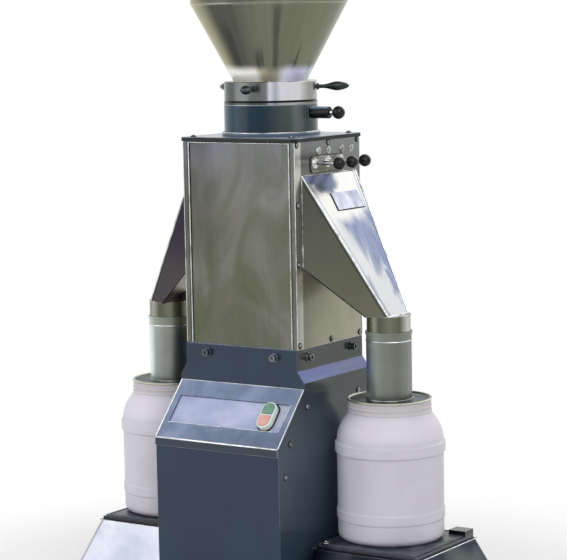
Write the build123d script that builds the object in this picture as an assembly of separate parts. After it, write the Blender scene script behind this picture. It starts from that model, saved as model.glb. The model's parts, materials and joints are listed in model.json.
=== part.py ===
from build123d import *
import math
import os

os.makedirs("parts", exist_ok=True)

# A laboratory cone mill that feeds two drums. Sizes in millimetres, Z up, floor at zero.
# It is drawn about the mill shaft and moved at the end, so that the origin lies on the
# floor at the middle of the whole machine.

# Clearances
slide_gap = 0.3
seat_gap = 0.1
bearing_gap = 0.05
join = 1  # how far forms of one solid run into each other, and how far cuts run past a face

# Feet, plinths and trays
foot_radius = 22
foot_height = 20
foot_inset = 34
foot_edge = 4
base_plate_thickness = 8
plinth_height = 112
plinth_slope = 0.4
plinth_sheet = 2
plinth_corner = 14
plinth_body_gap = 2
plinth_setback = 16
plinth_length_right = 221
plinth_length_left = 189
plinth_front = 121
plinth_back = 104
tray_thickness = 7
tray_inset = 6
mat_thickness = 3
mat_margin = 4
stop_length = 35
stop_width = 30
stop_height = 8
tray_screw_radius = 7.5
tray_screw_height = 4
tray_screw_inset = 15.5
tray_screw_aside = 6

# Drums, lids and sleeves
drum_gap = 13.4
drum_axis_y = 3.2
drum_height = 256
drum_radius = 98
drum_foot_radius = 86
drum_neck_radius = 76
drum_neck_height = 21
drum_shoulder_radius = 84.3
drum_shoulder_drop = 34
drum_wall = 2.5
drum_low_band = 1.7
drum_low_band_z = 37
drum_low_band_width = 22
drum_high_band = 3.5
drum_high_band_z = 159
drum_high_band_width = 24
drum_band_slope = 3.5
drum_thread_rise = 1.3
drum_thread_width = 2.6
drum_thread_pitch = 8.2
drum_thread_lift = 1.3
lid_radius = 77.7
lid_sheet = 1.5
lid_roll = 2
lid_roll_sides = 8
sleeve_length = 125.5
sleeve_sheet = 1.2
sleeve_bead = 1.4
sleeve_bead_height = 5
lid_lift = 25
spout_radius = 40.3
spout_sheet = 1.2
spout_overlap = 50
chute_room = 4

# Drive housing and console
housing_half_width = 136
housing_sheet = 2.5
housing_height = 474.6
neck_height = 38.6
neck_step = 2.8
shoulder_drop = 21
hood_lip = 13
hood_sheet = 2
hood_top_sheet = 5
hood_bend = 2.5
console_length = 129
console_angle = 47
console_sheet = 3
console_window_depth = 12
console_lip = 16
console_lip_sheet = 2
recess_margin = 13
recess_low = 34
recess_high = 94.5
plate_lap = 3
plate_sheet = 2
front_panel_gap = 6
vent_rows = 7
vent_pitch = 16
vent_length = 70
vent_height = 6
vent_drop = 60
panel_bend = 1.5

# Double pushbutton
switch_inset = 35.5
switch_width = 30
switch_length = 56
switch_rise = 9
switch_rim = 3.2
switch_bar = 3
switch_round = 1.5
button_round = 1
button_rise = 2
button_depth = 6
button_travel = 2.5

# Tower
tower_width = 246.8
tower_height = 377.2
tower_sheet = 2
tower_flange = 12
bend_share = 0.8
tower_fold = 16
chute_width = 183
chute_margin = 19.7
chute_below_deck = 61.8
chute_root_height = 168
chute_sheet = 2
chute_cap_offset = 21
chute_foot_offset = 18
name_plate_width = 90
name_plate_height = 35
name_plate_sheet = 1.2
name_plate_down = 58
name_plate_back = 18
divider_slope = 50
divider_sheet = 2
divider_gap = 1
shaft_tube_radius = 30
shaft_tube_wall = 2.5

# Divider gates on the right side
gate_count = 3
gate_pitch = 44
gate_centre_y = -2
gate_below_deck = 39.8
gate_rod_radius = 4
gate_reach = 178
gate_travel = 40
gate_blade_width = 38
gate_blade_clearance = 5
gate_blade_sheet = 3
gate_bush_radius = 8
gate_bush_length = 16
gate_bush_nose = 4
gate_bush_rim = 2.5
gate_bush_rim_thickness = 3
ball_radius = 11.5
ball_flat = 9

# Deck and mill head
deck_overhang = 4.6
deck_thickness = 7.7
deck_corner = 9
deck_hole_radius = 56
deck_bevel = 1
flange_radius = 92
flange_height = 6
flange_bevel = 1.5
mill_radius = 87.3
mill_height = 50.9
mill_floor_height = 24.5
collar_height = 6.1
groove_height = 1.5
groove_depth = 2.3
ring_radius = 86.3
ring_height = 35.7
skirt_radius = 74
skirt_wall = 8
skirt_lift = 2
index_groove_depth = 4
index_groove_half = 6
ring_bore = 60
ring_bevel = 1
stator_radius = 58
stator_height = 40
stator_wall = 5.5
rotor_radius = 49
rotor_top_radius = 20
rotor_height = 54
rotor_lift = 4
rotor_teeth = 12
stator_teeth = 18
tooth_depth = 3
tooth_twist = 16
rotor_nut_flats = 24
rotor_nut_height = 12
rotor_nut_edge = 2
rotor_cap = 6

# Index plunger
plunger_above_flange = 36
plunger_pin_radius = 5
plunger_sleeve_radius = 11
plunger_sleeve_end = 130
plunger_ball_reach = 149
plunger_ball_radius = 12
plunger_tip_gap = 1
boss_half = 14
boss_rise = 4

# Handles
handle_count = 3
handle_first_angle = 43.5
handle_height = 23
handle_length = 64
handle_bulb_radius = 8.5
handle_neck_radius = 3.6
handle_seat = 10
handle_collar_radius = 6
handle_collar_length = 5
handle_stem = 15
handle_crown = 3
handle_root_lean = (0.1, 1)
handle_tip_lean = (-0.45, 1)

# Hopper
throat_radius = 64
spigot_depth = 16
spigot_gap = 1
hopper_foot_radius = 68.6
hopper_rim_radius = 144.8
hopper_cone_height = 142.5
hopper_band_height = 58
hopper_sheet = 2
hopper_band_step = 1.2
hopper_bead = 0.6
hopper_roll = 4

# Drive
shaft_radius = 14
motor_shaft_radius = 12
motor_shaft_depth = 16
motor_radius = 64
motor_fin_height = 10
motor_fins = 24
motor_fin_thickness = 3
motor_fin_ends = 20
motor_length = 210
motor_flange_radius = 100
motor_flange_thickness = 12
fan_cover_height = 32
fan_cover_bevel = 10
fan_cover_lap = 24
terminal_box_half = 44
terminal_box_height = 90
terminal_box_drop = 40
terminal_box_rise = 34
motor_bore_gap = 3
bridge_thickness = 10
bridge_half_width = 118
bridge_half_depth = 92
bridge_post_radius = 11
bridge_post_edge = 3
coupling_radius = 32
coupling_hub = 26
claw_height = 14
claw_arc = 52
claw_count = 3
claw_gap = 1
coupling_lift = 12
coupling_headroom = 45.6
bearing_hub_radius = 40
bearing_flange_radius = 60
bearing_flange = 9
bearing_hub_length = 30
upper_hub_radius = 26
upper_hub_length = 30
arm_width = 10
arm_height = 12
arm_count = 3
bearing_rim = 4

# Fasteners and cable entry
cover_screw_radius = 4.6
cover_screw_height = 3.4
neck_bolt_radius = 6.5
neck_bolt_head = 8
neck_washer_radius = 8
neck_washer = 3
neck_bolt_spacing = 150
neck_bolt_drop = 15.6
neck_bolt_forward = 5
tower_screw_drops = (4.8, 113.8, 221.8)
tower_screw_lift = 7.4
tower_screw_inset = 8
deck_screw_inset = 14
side_screw_upper = (10, 33)
side_screw_middle = (40, 92)
side_screw_lower = (23, 150)
side_screw_back = (35.7, 28)
gland_radius = 15
gland_cap_edge = 2
gland_bore = 6.5
gland_length = 34
gland_thread_radius = 10
gland_nut = 8
gland_lip = 5
gland_wall = 3
gland_inset = 44
gland_above_base = 52

# Levels
base_top = foot_height + base_plate_thickness
tray_z = base_top + plinth_height
mat_z = tray_z + tray_thickness
stand_z = mat_z + mat_thickness
drum_top = stand_z + drum_height
lid_z = drum_top + slide_gap
lid_top = lid_z + lid_sheet
sleeve_top = lid_top + sleeve_length
spout_top = sleeve_top + lid_lift + chute_room
neck_top = base_top + housing_height
shoulder_top = neck_top - neck_height
shoulder_bottom = shoulder_top - shoulder_drop
hood_bottom = shoulder_bottom - hood_lip
tower_top = neck_top + tower_height
deck_top = tower_top + deck_thickness
flange_top = deck_top + flange_height
mill_top = flange_top + mill_height
collar_top = mill_top + collar_height
ring_z = collar_top + groove_height
ring_top = ring_z + ring_height
chute_top = tower_top - chute_below_deck
chute_foot = chute_top - chute_root_height
gate_z = tower_top - gate_below_deck
plunger_z = flange_top + plunger_above_flange
skirt_bottom = flange_top + mill_floor_height + skirt_lift
rotor_z = flange_top + rotor_lift
bearing_foot = neck_top - bearing_hub_length
upper_coupling_z = bearing_foot - coupling_headroom - coupling_hub
coupling_z = upper_coupling_z - coupling_hub - claw_height + claw_gap
bridge_top = coupling_z - coupling_lift

# Plan positions
tower_x = tower_width / 2
tower_y = chute_width / 2 + chute_margin
drum_distance = housing_half_width + drum_gap + drum_radius
plinth_inner = housing_half_width + plinth_setback
plinth_reach_right = plinth_inner + plinth_length_right
plinth_reach_left = plinth_inner + plinth_length_left
recess_half_width = housing_half_width - recess_margin
switch_x = recess_half_width - switch_inset
gland_x = housing_half_width - gland_inset
neck_front = -tower_y - neck_step
hood_back = tower_y
housing_back = hood_back - hood_sheet
tilt = math.radians(console_angle)
front_y = neck_front - console_length * math.cos(tilt)
console_head_z = hood_bottom + hood_sheet
console_foot_z = console_head_z - console_length * math.sin(tilt)
sleeve_bore = spout_radius + slide_gap
sleeve_radius = sleeve_bore + sleeve_sheet
skirt_bore = skirt_radius + slide_gap
plinth_run = plinth_slope * plinth_height
base_left = -plinth_reach_left - plinth_run
base_right = plinth_reach_right + plinth_run
base_front = -plinth_front - plinth_run
base_back = plinth_back + plinth_run
machine_front = front_y - console_lip_sheet
machine_back = max(base_back, housing_back + gland_length - gland_thread_radius)

# The slanted console: X to the right, Y up the slope from its front edge, Z out of it.
console = Plane(
    origin=(0, front_y, console_foot_z),
    x_dir=(1, 0, 0),
    z_dir=(0, -math.sin(tilt), math.cos(tilt)),
).location
recess_middle = (recess_low + recess_high) / 2

# Turns that point an upright part sideways
to_right = Rot(0, 90, 0)
to_left = Rot(0, -90, 0)
to_front = Rot(90, 0, 0)
to_back = Rot(-90, 0, 0)


def block(x0, x1, y0, y1, z0, z1):
    """A rectangular block between two corners."""
    middle = Pos((x0 + x1) / 2, (y0 + y1) / 2, (z0 + z1) / 2)
    return middle * Box(x1 - x0, y1 - y0, z1 - z0)


def tube(outer, inner, z0, z1):
    """An upright tube on the Z axis."""
    return Pos(0, 0, z0) * extrude(Circle(outer) - Circle(inner), z1 - z0)


def rod(radius, z0, z1):
    """An upright round bar on the Z axis."""
    return Pos(0, 0, z0) * extrude(Circle(radius), z1 - z0)


def turned(*outline):
    """A body turned about the Z axis from its (radius, height) corners."""
    return revolve(Plane.XZ * make_face(Polyline(*outline, close=True)), Axis.Z)


def across(outline, half_width):
    """A (y, z) outline drawn out to both sides of the mill axis."""
    face = make_face(Polyline(*outline, close=True))
    return extrude(Plane.YZ * face, half_width, both=True)


def lengthways(face, y0, y1):
    """An (x, z) face drawn out from one depth to another."""
    return Pos(0, y1, 0) * extrude(Plane.XZ * face, y1 - y0)


def mirrored(part):
    """The same part for the left side."""
    return mirror(part, about=Plane.YZ)


def hexagon(flats, depth):
    """A six-sided bar, measured over its flats."""
    return extrude(RegularPolygon(flats / 2, 6, major_radius=False), depth)


def button_head(radius, height):
    """A low round screw head that stands on z = 0."""
    crown = radius - height
    return turned((0, 0), (radius, 0), (radius, height / 2), (crown, height), (0, height))


# Base


def base_plate():
    """The floor plate, with a tongue under the console."""
    plate = block(base_left, base_right, base_front, base_back, foot_height, base_top)
    half = housing_half_width
    return plate + block(-half, half, front_y, base_front + join, foot_height, base_top)


def feet():
    """Rubber feet near the corners of the base plate."""
    foot = turned(
        (0, 0), (foot_radius - foot_edge, 0), (foot_radius, foot_edge),
        (foot_radius - foot_edge, foot_height), (0, foot_height),
    )
    xs = (base_left + foot_inset, base_right - foot_inset)
    ys = (base_front + foot_inset, base_back - foot_inset)
    return [Pos(x, y, 0) * foot for x in xs for y in ys]


def plinth(reach):
    """A sloped sheet-metal plinth with a closed top, for the right side."""

    def layer(z, run, inner, shrink):
        x0 = inner + shrink
        x1 = reach + run - shrink
        y0 = -plinth_front - run + shrink
        y1 = plinth_back + run - shrink
        face = RectangleRounded(x1 - x0, y1 - y0, plinth_corner - shrink)
        return Pos((x0 + x1) / 2, (y0 + y1) / 2, z) * face

    foot_x = housing_half_width + plinth_body_gap
    outer = [layer(base_top, plinth_run, foot_x, 0), layer(tray_z, 0, plinth_inner, 0)]
    roof_run = plinth_slope * plinth_sheet
    inner = [
        layer(base_top, plinth_run, foot_x, plinth_sheet),
        layer(tray_z - plinth_sheet, roof_run, plinth_inner, plinth_sheet),
    ]
    return loft(outer, ruled=True) - loft(inner, ruled=True)


def on_plinth(reach, inset, z0, z1):
    """A plate on the plinth, set in from its edges, for the right side."""
    x0, x1 = plinth_inner + inset, reach - inset
    return block(x0, x1, -plinth_front + inset, plinth_back - inset, z0, z1)


def tray(reach):
    """A flat black tray, for the right side."""
    return on_plinth(reach, tray_inset, tray_z, mat_z)


def mat(reach):
    """A rubber mat on the tray, for the right side."""
    return on_plinth(reach, tray_inset + mat_margin, mat_z, stand_z)


def tray_stop(gap):
    """The raised stop at the outer back corner of the right tray, or the space it needs."""
    x1, y1 = plinth_reach_right - tray_inset, plinth_back - tray_inset
    low = mat_z - seat_gap - gap
    x0, y0 = x1 - stop_length - gap, y1 - stop_width - gap
    return block(x0, x1 + gap, y0, y1 + gap, low, stand_z + stop_height)


def tray_screws():
    """Button-head screws through the inner front corners of the mats."""
    head = button_head(tray_screw_radius, tray_screw_height)
    x = plinth_inner + tray_screw_inset + tray_screw_aside
    y = -plinth_front + tray_screw_inset
    return [Pos(side * x, y, stand_z) * head for side in (-1, 1)]


# Drums, lids and chutes


def drum():
    """A wide-neck drum on z = 0, with two raised bands, a round shoulder and an open mouth."""

    def band(radius, z, width, height):
        slope = drum_band_slope
        return [
            (radius, z), (radius + height, z + slope),
            (radius + height, z + width - slope), (radius, z + width),
        ]

    def outline(inset, top):
        radius, foot = drum_radius - inset, drum_foot_radius - inset
        neck = drum_neck_radius - inset
        shoulder = (drum_shoulder_radius - inset, drum_height - drum_shoulder_drop)
        low = band(radius, drum_low_band_z, drum_low_band_width, drum_low_band)
        high = band(radius, drum_high_band_z, drum_high_band_width, drum_high_band)
        bend = (radius, inset + radius - foot)
        neck_z = drum_height - drum_neck_height
        return make_face([
            Line((0, inset), (foot, inset)),
            TangentArc((foot, inset), bend, tangent=(1, 0)),
            Polyline(bend, *low, *high),
            TangentArc(high[-1], shoulder, tangent=(0, 1)),
            Polyline(shoulder, (neck, neck_z), (neck, top), (0, top), (0, inset)),
        ])

    outer, inner = outline(0, drum_height), outline(drum_wall, drum_height + join)
    shell = revolve(Plane.XZ * outer, Axis.Z) - revolve(Plane.XZ * inner, Axis.Z)
    root, crest = drum_neck_radius - join, drum_neck_radius + drum_thread_rise
    half = drum_thread_width / 2
    low = drum_height - drum_neck_height + drum_thread_lift
    for z in (low, low + drum_thread_pitch):
        shell += turned(
            (root, z - drum_thread_rise), (drum_neck_radius, z - drum_thread_rise),
            (crest, z), (crest, z + half), (drum_neck_radius, z + half + drum_thread_rise),
            (root, z + half + drum_thread_rise),
        )
    return shell


def drum_at(side):
    """A drum in its place on the mat."""
    return Pos(side * drum_distance, drum_axis_y, stand_z) * drum()


def lid_rim_corners():
    """Corners of the lid's rolled rim in section, with flats below, above and at each side."""
    centre, step = lid_radius - lid_roll, math.tau / lid_roll_sides
    reach = lid_roll / math.cos(step / 2)
    turns = [(place + 0.5) * step for place in range(lid_roll_sides)]
    return [(centre + reach * math.cos(turn), reach * math.sin(turn)) for turn in turns]


def drum_lid(side):
    """A flat steel lid with a rolled rim, welded to the sleeve that slides up the spout."""
    plate = tube(lid_radius - lid_roll, sleeve_bore, lid_z, lid_top)
    rim = Pos(0, 0, lid_z + lid_roll) * turned(*lid_rim_corners())
    sleeve = tube(sleeve_radius, sleeve_bore, lid_z, sleeve_top)
    bead_z = sleeve_top - sleeve_bead_height
    bead = tube(sleeve_radius + sleeve_bead, sleeve_bore, bead_z, sleeve_top)
    return Pos(side * drum_distance, drum_axis_y, 0) * (plate + rim + sleeve + bead)


def chute_skin(shrink):
    """The right chute's form, smaller all round by a sheet: flat side walls that run tangent
    into a half-round end, under a slanted top with a level cap, over a slanted foot."""
    start = tower_x - shrink
    radius = spout_radius - min(shrink, spout_sheet)
    half = chute_width / 2 - shrink
    end = drum_distance + radius
    beyond = end + join
    reach = drum_distance - start
    toward = math.atan2(half, reach) - math.asin(radius / math.hypot(half, reach))
    touch_x = drum_distance + radius * math.sin(toward)
    touch_y = radius * math.cos(toward)
    plan = make_face([
        Polyline((touch_x, touch_y), (start, half), (start, -half), (touch_x, -touch_y)),
        ThreePointArc((touch_x, -touch_y), (end, 0), (touch_x, touch_y)),
    ])
    low = spout_top + shrink
    duct = Pos(0, drum_axis_y, low) * extrude(plan, chute_top - low)
    steep, shallow = chute_slopes()
    roof_z = chute_top - shrink * math.hypot(1, steep)
    sole_z = chute_foot + shrink * math.hypot(1, shallow)
    cap_z = spout_top - shrink
    cap_x = tower_x + (roof_z - cap_z) / steep
    above = [
        (start, roof_z + steep * shrink), (cap_x, cap_z), (beyond, cap_z),
        (beyond, chute_top + join), (start, chute_top + join),
    ]
    below = [
        (start, sole_z + shallow * shrink), (beyond, sole_z - shallow * (beyond - tower_x)),
        (start, sole_z - shallow * (beyond - tower_x)),
    ]
    deep = chute_width
    over = lengthways(make_face(Polyline(*above, close=True)), -deep, deep)
    under = lengthways(make_face(Polyline(*below, close=True)), -deep, deep)
    spout_bottom = sleeve_top - spout_overlap - shrink
    pipe = Pos(drum_distance, drum_axis_y, 0) * rod(radius, spout_bottom, chute_foot)
    return (duct - under + pipe) - over


def chute_slopes():
    """Steepness of the slanted top and of the foot, as fall over run."""
    top_run = drum_distance + chute_cap_offset - tower_x
    foot_run = drum_distance - chute_foot_offset - tower_x
    return (chute_top - spout_top) / top_run, (chute_foot - spout_top) / foot_run


def chute():
    """The right chute: a tapered sheet-metal duct that ends in a round spout."""
    return chute_skin(0) - chute_skin(chute_sheet)


def name_plate():
    """A bare plate on the slanted face of the right chute, nearer its back edge."""
    steep = math.atan(chute_slopes()[0])
    down = (math.cos(steep), 0, -math.sin(steep))
    outward = (math.sin(steep), 0, math.cos(steep))
    origin = (tower_x, drum_axis_y, chute_top)
    slope = Plane(origin=origin, x_dir=down, z_dir=outward).location
    size = (name_plate_height, name_plate_width, name_plate_sheet)
    return slope * (Pos(name_plate_down, name_plate_back, name_plate_sheet / 2) * Box(*size))


# Housing and console


def console_z(y):
    """Height of the console's upper face at a depth."""
    return console_foot_z + (y - front_y) * math.tan(tilt)


def housing_body():
    """Side walls and back of the drive housing, open in front and on top."""
    wall_front = front_y + housing_sheet
    under = console_sheet / math.cos(tilt)
    head = neck_front + hood_sheet
    outline = [
        (wall_front, base_top), (wall_front, console_z(wall_front) - under),
        (neck_front, console_z(neck_front) - under), (head, console_z(neck_front) - under),
        (head, shoulder_bottom - 1), (housing_back, shoulder_bottom - 1), (housing_back, base_top),
    ]
    inside = housing_half_width - housing_sheet
    body = across(outline, housing_half_width)
    body -= block(
        -inside, inside, front_y - 1, housing_back - housing_sheet, base_top - 1, neck_top,
    )
    for row in range(vent_rows):
        slot = block(
            -vent_length / 2, vent_length / 2, housing_back - 2 * housing_sheet, housing_back + 1,
            0, vent_height,
        )
        body -= Pos(0, 0, shoulder_bottom - vent_drop - row * vent_pitch) * slot
    hole = to_back * rod(gland_thread_radius + seat_gap, -2 * housing_sheet, 2 * housing_sheet)
    return body - Pos(gland_x, housing_back, base_top + gland_above_base) * hole


def hood_face(inset, top):
    """Front outline of the neck with its shoulders and lips."""
    lip = housing_half_width + hood_sheet - inset
    neck = tower_x - inset
    bottom = hood_bottom if inset == 0 else hood_bottom - 1
    half = [(lip, bottom), (lip, shoulder_bottom), (neck, shoulder_top), (neck, top)]
    corners = half + [(-x, z) for x, z in reversed(half)]
    face = make_face(Polyline(*corners, close=True))
    bends = [v for v in face.vertices() if shoulder_bottom - 1 < v.Y < shoulder_top + 1]
    return fillet(bends, hood_bend)


def housing_top():
    """The neck that carries the tower, with a shoulder over each side wall."""
    shell = lengthways(hood_face(0, neck_top), neck_front, hood_back)
    inside = hood_face(hood_sheet, neck_top - hood_top_sheet)
    shell -= lengthways(inside, neck_front + hood_sheet, hood_back - hood_sheet)
    return shell - rod(bearing_hub_radius + seat_gap, neck_top - 2 * hood_top_sheet, neck_top + 1)


def front_panel():
    """The flat lower front of the housing."""
    top = console_foot_z - front_panel_gap
    half = housing_half_width
    panel = block(-half, half, front_y, front_y + housing_sheet, base_top, top)
    edges = panel.edges().filter_by(Axis.Z).sort_by(Axis.Y)[:2]
    return fillet(edges, panel_bend)


def console_panel():
    """The slanted cover with a folded front lip and a window for the bare plate."""
    under = console_sheet / math.cos(tilt)
    lip_y = front_y - console_lip_sheet
    outline = [
        (lip_y, console_foot_z - console_lip), (lip_y, console_z(lip_y)),
        (neck_front, console_z(neck_front)), (neck_front, console_z(neck_front) - under),
        (front_y, console_z(front_y) - under), (front_y, console_foot_z - console_lip),
    ]
    cover = across(outline, housing_half_width)
    window = Box(2 * recess_half_width, recess_high - recess_low, console_window_depth)
    return cover - console * (Pos(0, recess_middle, 0) * window)


def console_plate():
    """The bare plate behind the console's window."""
    width = 2 * (recess_half_width + plate_lap)
    height = recess_high - recess_low + 2 * plate_lap
    plate = Pos(0, recess_middle, -console_sheet - plate_sheet / 2) * Box(width, height, plate_sheet)
    return console * plate


def switch_form(margin):
    """Long rounded outline of the pushbutton unit, smaller all round by a margin."""
    return SlotOverall(switch_length - 2 * margin, switch_width - 2 * margin, rotation=90)


def button_face(half, margin):
    """One button's outline: the upper (1) or lower (-1) half of the unit's inside."""
    length = switch_length
    keep = Pos(0, half * (length / 2 + switch_bar / 2 + margin)) * Rectangle(length, length)
    return switch_form(switch_rim + margin) & keep


def switch_housing():
    """The bezel of the double pushbutton, on the bare plate."""
    body = extrude(switch_form(0), console_sheet + switch_rise)
    body = fillet(body.edges().group_by(Axis.Z)[-1], switch_round)
    floor = console_sheet + switch_rise - button_depth
    for half in (-1, 1):
        body -= Pos(0, 0, floor) * extrude(button_face(half, 0), button_depth + 1)
    return console * (Pos(switch_x, recess_middle, -console_sheet) * body)


def button(half):
    """A button that stops just above the floor of its pocket when pressed."""
    length = button_depth + button_rise - button_travel - slide_gap
    cap = extrude(button_face(half, slide_gap), length)
    cap = fillet(cap.edges().group_by(Axis.Z)[-1], button_round)
    lift = switch_rise + button_rise - length
    return console * (Pos(switch_x, recess_middle, lift) * cap)


# Tower


def tower_side():
    """A side panel of the tower with folded flanges and the opening to its chute."""
    x, y, sheet = tower_x, tower_y, tower_sheet
    panel = block(x - sheet, x, -y, y, neck_top, tower_top)
    for y0 in (-y, y - sheet):
        panel += block(x - tower_flange, x, y0, y0 + sheet, neck_top, tower_top)
    corners = panel.edges().filter_by(Axis.Z).sort_by(Axis.X)[-2:]
    panel = fillet(corners, sheet * bend_share)
    half = chute_width / 2 - chute_sheet
    return panel - block(
        x - 2 * sheet, x + sheet, drum_axis_y - half, drum_axis_y + half,
        chute_foot + chute_sheet, chute_top - chute_sheet,
    )


def tower_right():
    """The right side panel, with three more holes for the gate bushes."""
    panel = tower_side()
    hole = to_right * rod(gate_bush_radius + seat_gap, -2 * tower_sheet, 2 * tower_sheet)
    for y in gate_rows():
        panel -= Pos(tower_x, y, gate_z) * hole
    return panel


def tower_front():
    """The front panel, set behind the side flanges, with its top edge folded in."""
    y0 = -tower_y + tower_sheet
    half = tower_x - tower_sheet
    panel = block(-half, half, y0, y0 + tower_sheet, neck_top, tower_top)
    fold = block(-half, half, y0, y0 + tower_fold, tower_top - tower_sheet, tower_top)
    return panel + fold


def gate_rows():
    """Depths of the gate rods."""
    middle = (gate_count - 1) / 2
    return [gate_centre_y + (row - middle) * gate_pitch for row in range(gate_count)]


def gate_bushes():
    """Flanged bushes that guide the gate rods through the right panel."""
    bore = gate_rod_radius + slide_gap
    bush = tube(gate_bush_radius, bore, -gate_bush_length / 2, gate_bush_nose)
    bush += tube(gate_bush_radius + gate_bush_rim, bore, 0, gate_bush_rim_thickness)
    return [Pos(tower_x, y, gate_z) * (to_right * bush) for y in gate_rows()]


def gate_rod(y):
    """A rod with the gate blade on its inner end."""
    inner = shaft_tube_radius + gate_blade_clearance
    blade_end = tower_x - gate_bush_length / 2 - gate_travel - slide_gap
    half = gate_blade_width / 2
    thick = gate_blade_sheet / 2
    blade = block(inner, blade_end, y - half, y + half, gate_z - thick, gate_z + thick)
    start, end = blade_end - gate_rod_radius, gate_reach - ball_flat
    return blade + Pos(0, y, gate_z) * (to_right * rod(gate_rod_radius, start, end))


def ball_knob(radius, stem):
    """A ball knob on z = 0 with a flat where the rod enters."""
    ball = Pos(0, 0, radius) * Sphere(radius)
    ball -= block(-radius, radius, -radius, radius, -1, radius - ball_flat)
    return ball - rod(stem, -1, radius)


def gate_knob(y):
    """The ball knob of a gate rod."""
    knob = Pos(0, 0, -ball_radius) * ball_knob(ball_radius, gate_rod_radius + bearing_gap)
    return Pos(gate_reach, y, gate_z) * (to_right * knob)


def divider():
    """The shaft tube with a roof of two plates that parts the product to both chutes."""
    sill_x = tower_x - tower_sheet - divider_gap
    sill_z = chute_foot + chute_sheet + divider_sheet
    ridge_z = sill_z + sill_x * math.tan(math.radians(divider_slope))
    drop = divider_sheet / math.cos(math.radians(divider_slope))
    roof = [
        (0, ridge_z), (sill_x, sill_z), (sill_x, sill_z - drop), (0, ridge_z - drop),
        (-sill_x, sill_z - drop), (-sill_x, sill_z),
    ]
    depth = tower_y - 2 * tower_sheet - divider_gap
    plates = lengthways(make_face(Polyline(*roof, close=True)), -depth, depth)
    low = neck_top + bearing_flange
    high = tower_top - upper_hub_length / 2
    outer = shaft_tube_radius
    shell = plates - rod(outer - shaft_tube_wall, low, high)
    return shell + tube(outer, outer - shaft_tube_wall, low, high)


def screw_places():
    """Places and turns of the cover screws on tower, housing and deck."""
    rows = [tower_top - drop for drop in tower_screw_drops] + [neck_top + tower_screw_lift]
    edge = tower_y - tower_screw_inset
    side_rows = [
        (neck_front + side_screw_upper[0], console_head_z - side_screw_upper[1]),
        (front_y + side_screw_middle[0], console_head_z - side_screw_middle[1]),
        (front_y + side_screw_lower[0], console_head_z - side_screw_lower[1]),
        (housing_back - side_screw_back[0], console_head_z - side_screw_back[1]),
    ]
    places = []
    for turn, side in ((to_right, 1), (to_left, -1)):
        places += [(side * tower_x, y, z, turn) for z in rows for y in (-edge, edge)]
        places += [(side * tower_x, drum_axis_y, z, turn) for z in (rows[0], rows[-1])]
        places += [(side * housing_half_width, y, z, turn) for y, z in side_rows]
    x, y = tower_x - deck_screw_inset, tower_y - deck_screw_inset
    upright = Rot(0, 0, 0)
    places += [(px, py, deck_top, upright) for px in (-x, x) for py in (-y, y)]
    return places


def cover_screws():
    """Button-head screws of the covers."""
    head = button_head(cover_screw_radius, cover_screw_height)
    return [Pos(x, y, z) * (turn * head) for x, y, z, turn in screw_places()]


def neck_bolts():
    """Hexagon socket bolts with washers around the neck."""
    top = neck_washer + neck_bolt_head
    bolt = rod(neck_washer_radius, 0, neck_washer) + rod(neck_bolt_radius, neck_washer, top)
    socket = hexagon(neck_bolt_radius, neck_bolt_head)
    bolt -= Pos(0, 0, top - neck_bolt_head / 2) * socket
    level = neck_top - neck_bolt_drop
    half = neck_bolt_spacing / 2
    bolts = []
    for along in (-half, half):
        bolts.append(Pos(along, neck_front, level) * (to_front * bolt))
        bolts.append(Pos(along, hood_back, level) * (to_back * bolt))
        bolts.append(Pos(tower_x, along - neck_bolt_forward, level) * (to_right * bolt))
        bolts.append(Pos(-tower_x, along - neck_bolt_forward, level) * (to_left * bolt))
    return bolts


# Mill head


def deck_plate():
    """The thick plate on the tower that carries the mill head."""
    width = tower_width + 2 * deck_overhang
    depth = 2 * (tower_y + deck_overhang)
    plate = extrude(RectangleRounded(width, depth, deck_corner), deck_thickness)
    plate = chamfer(plate.edges().group_by(Axis.Z)[-1], deck_bevel)
    return Pos(0, 0, tower_top) * plate - rod(deck_hole_radius, tower_top - join, deck_top + join)


def mill_flange():
    """The low round flange between deck and mill body."""
    return turned(
        (deck_hole_radius, deck_top), (flange_radius, deck_top),
        (flange_radius, flange_top - flange_bevel), (flange_radius - flange_bevel, flange_top),
        (deck_hole_radius, flange_top),
    )


def mill_body():
    """The round mill casing with a stepped bore and a boss for the index plunger."""
    step = flange_top + mill_floor_height
    bore = stator_radius + seat_gap
    body = turned(
        (bore, flange_top), (mill_radius, flange_top), (mill_radius, mill_top),
        (skirt_bore, mill_top), (skirt_bore, step), (bore, step),
    )
    high, low = plunger_z + plunger_sleeve_radius + 1, plunger_z - plunger_sleeve_radius - 1
    face = mill_radius + boss_rise
    boss = block(mill_radius - boss_half, face, -boss_half, boss_half, low, high)
    body += boss - rod(skirt_bore + 2, flange_top, mill_top)
    hole = to_right * rod(plunger_pin_radius + slide_gap, 0, mill_radius + 10)
    return body - Pos(0, 0, plunger_z) * hole


def stator_flange():
    """The steel collar that closes the mill casing."""
    return tube(mill_radius, skirt_bore, mill_top, collar_top)


def toothed_face(count, tip, root, turn):
    """A ring of straight-sided teeth."""
    pitch = 360 / count
    corners = []
    for tooth in range(count):
        for share, radius in ((0, root), (0.35, root), (0.5, tip), (0.85, tip)):
            angle = math.radians(turn + (tooth + share) * pitch)
            corners.append((radius * math.cos(angle), radius * math.sin(angle)))
    return make_face(Polyline(*corners, close=True))


def stator():
    """The fixed grinding ring, toothed inside, wider at the top."""
    z0 = flange_top + rotor_lift / 2
    z1 = z0 + stator_height
    low_radius = rotor_radius + tooth_depth
    high_radius = stator_radius - stator_wall + tooth_depth
    low = toothed_face(stator_teeth, low_radius, low_radius - tooth_depth / 2, 0)
    high = toothed_face(stator_teeth, high_radius, high_radius - tooth_depth, tooth_twist / 2)
    hollow = loft([Pos(0, 0, z0) * low, Pos(0, 0, z1) * high], ruled=True)
    return rod(stator_radius, z0, z1) - hollow


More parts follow.
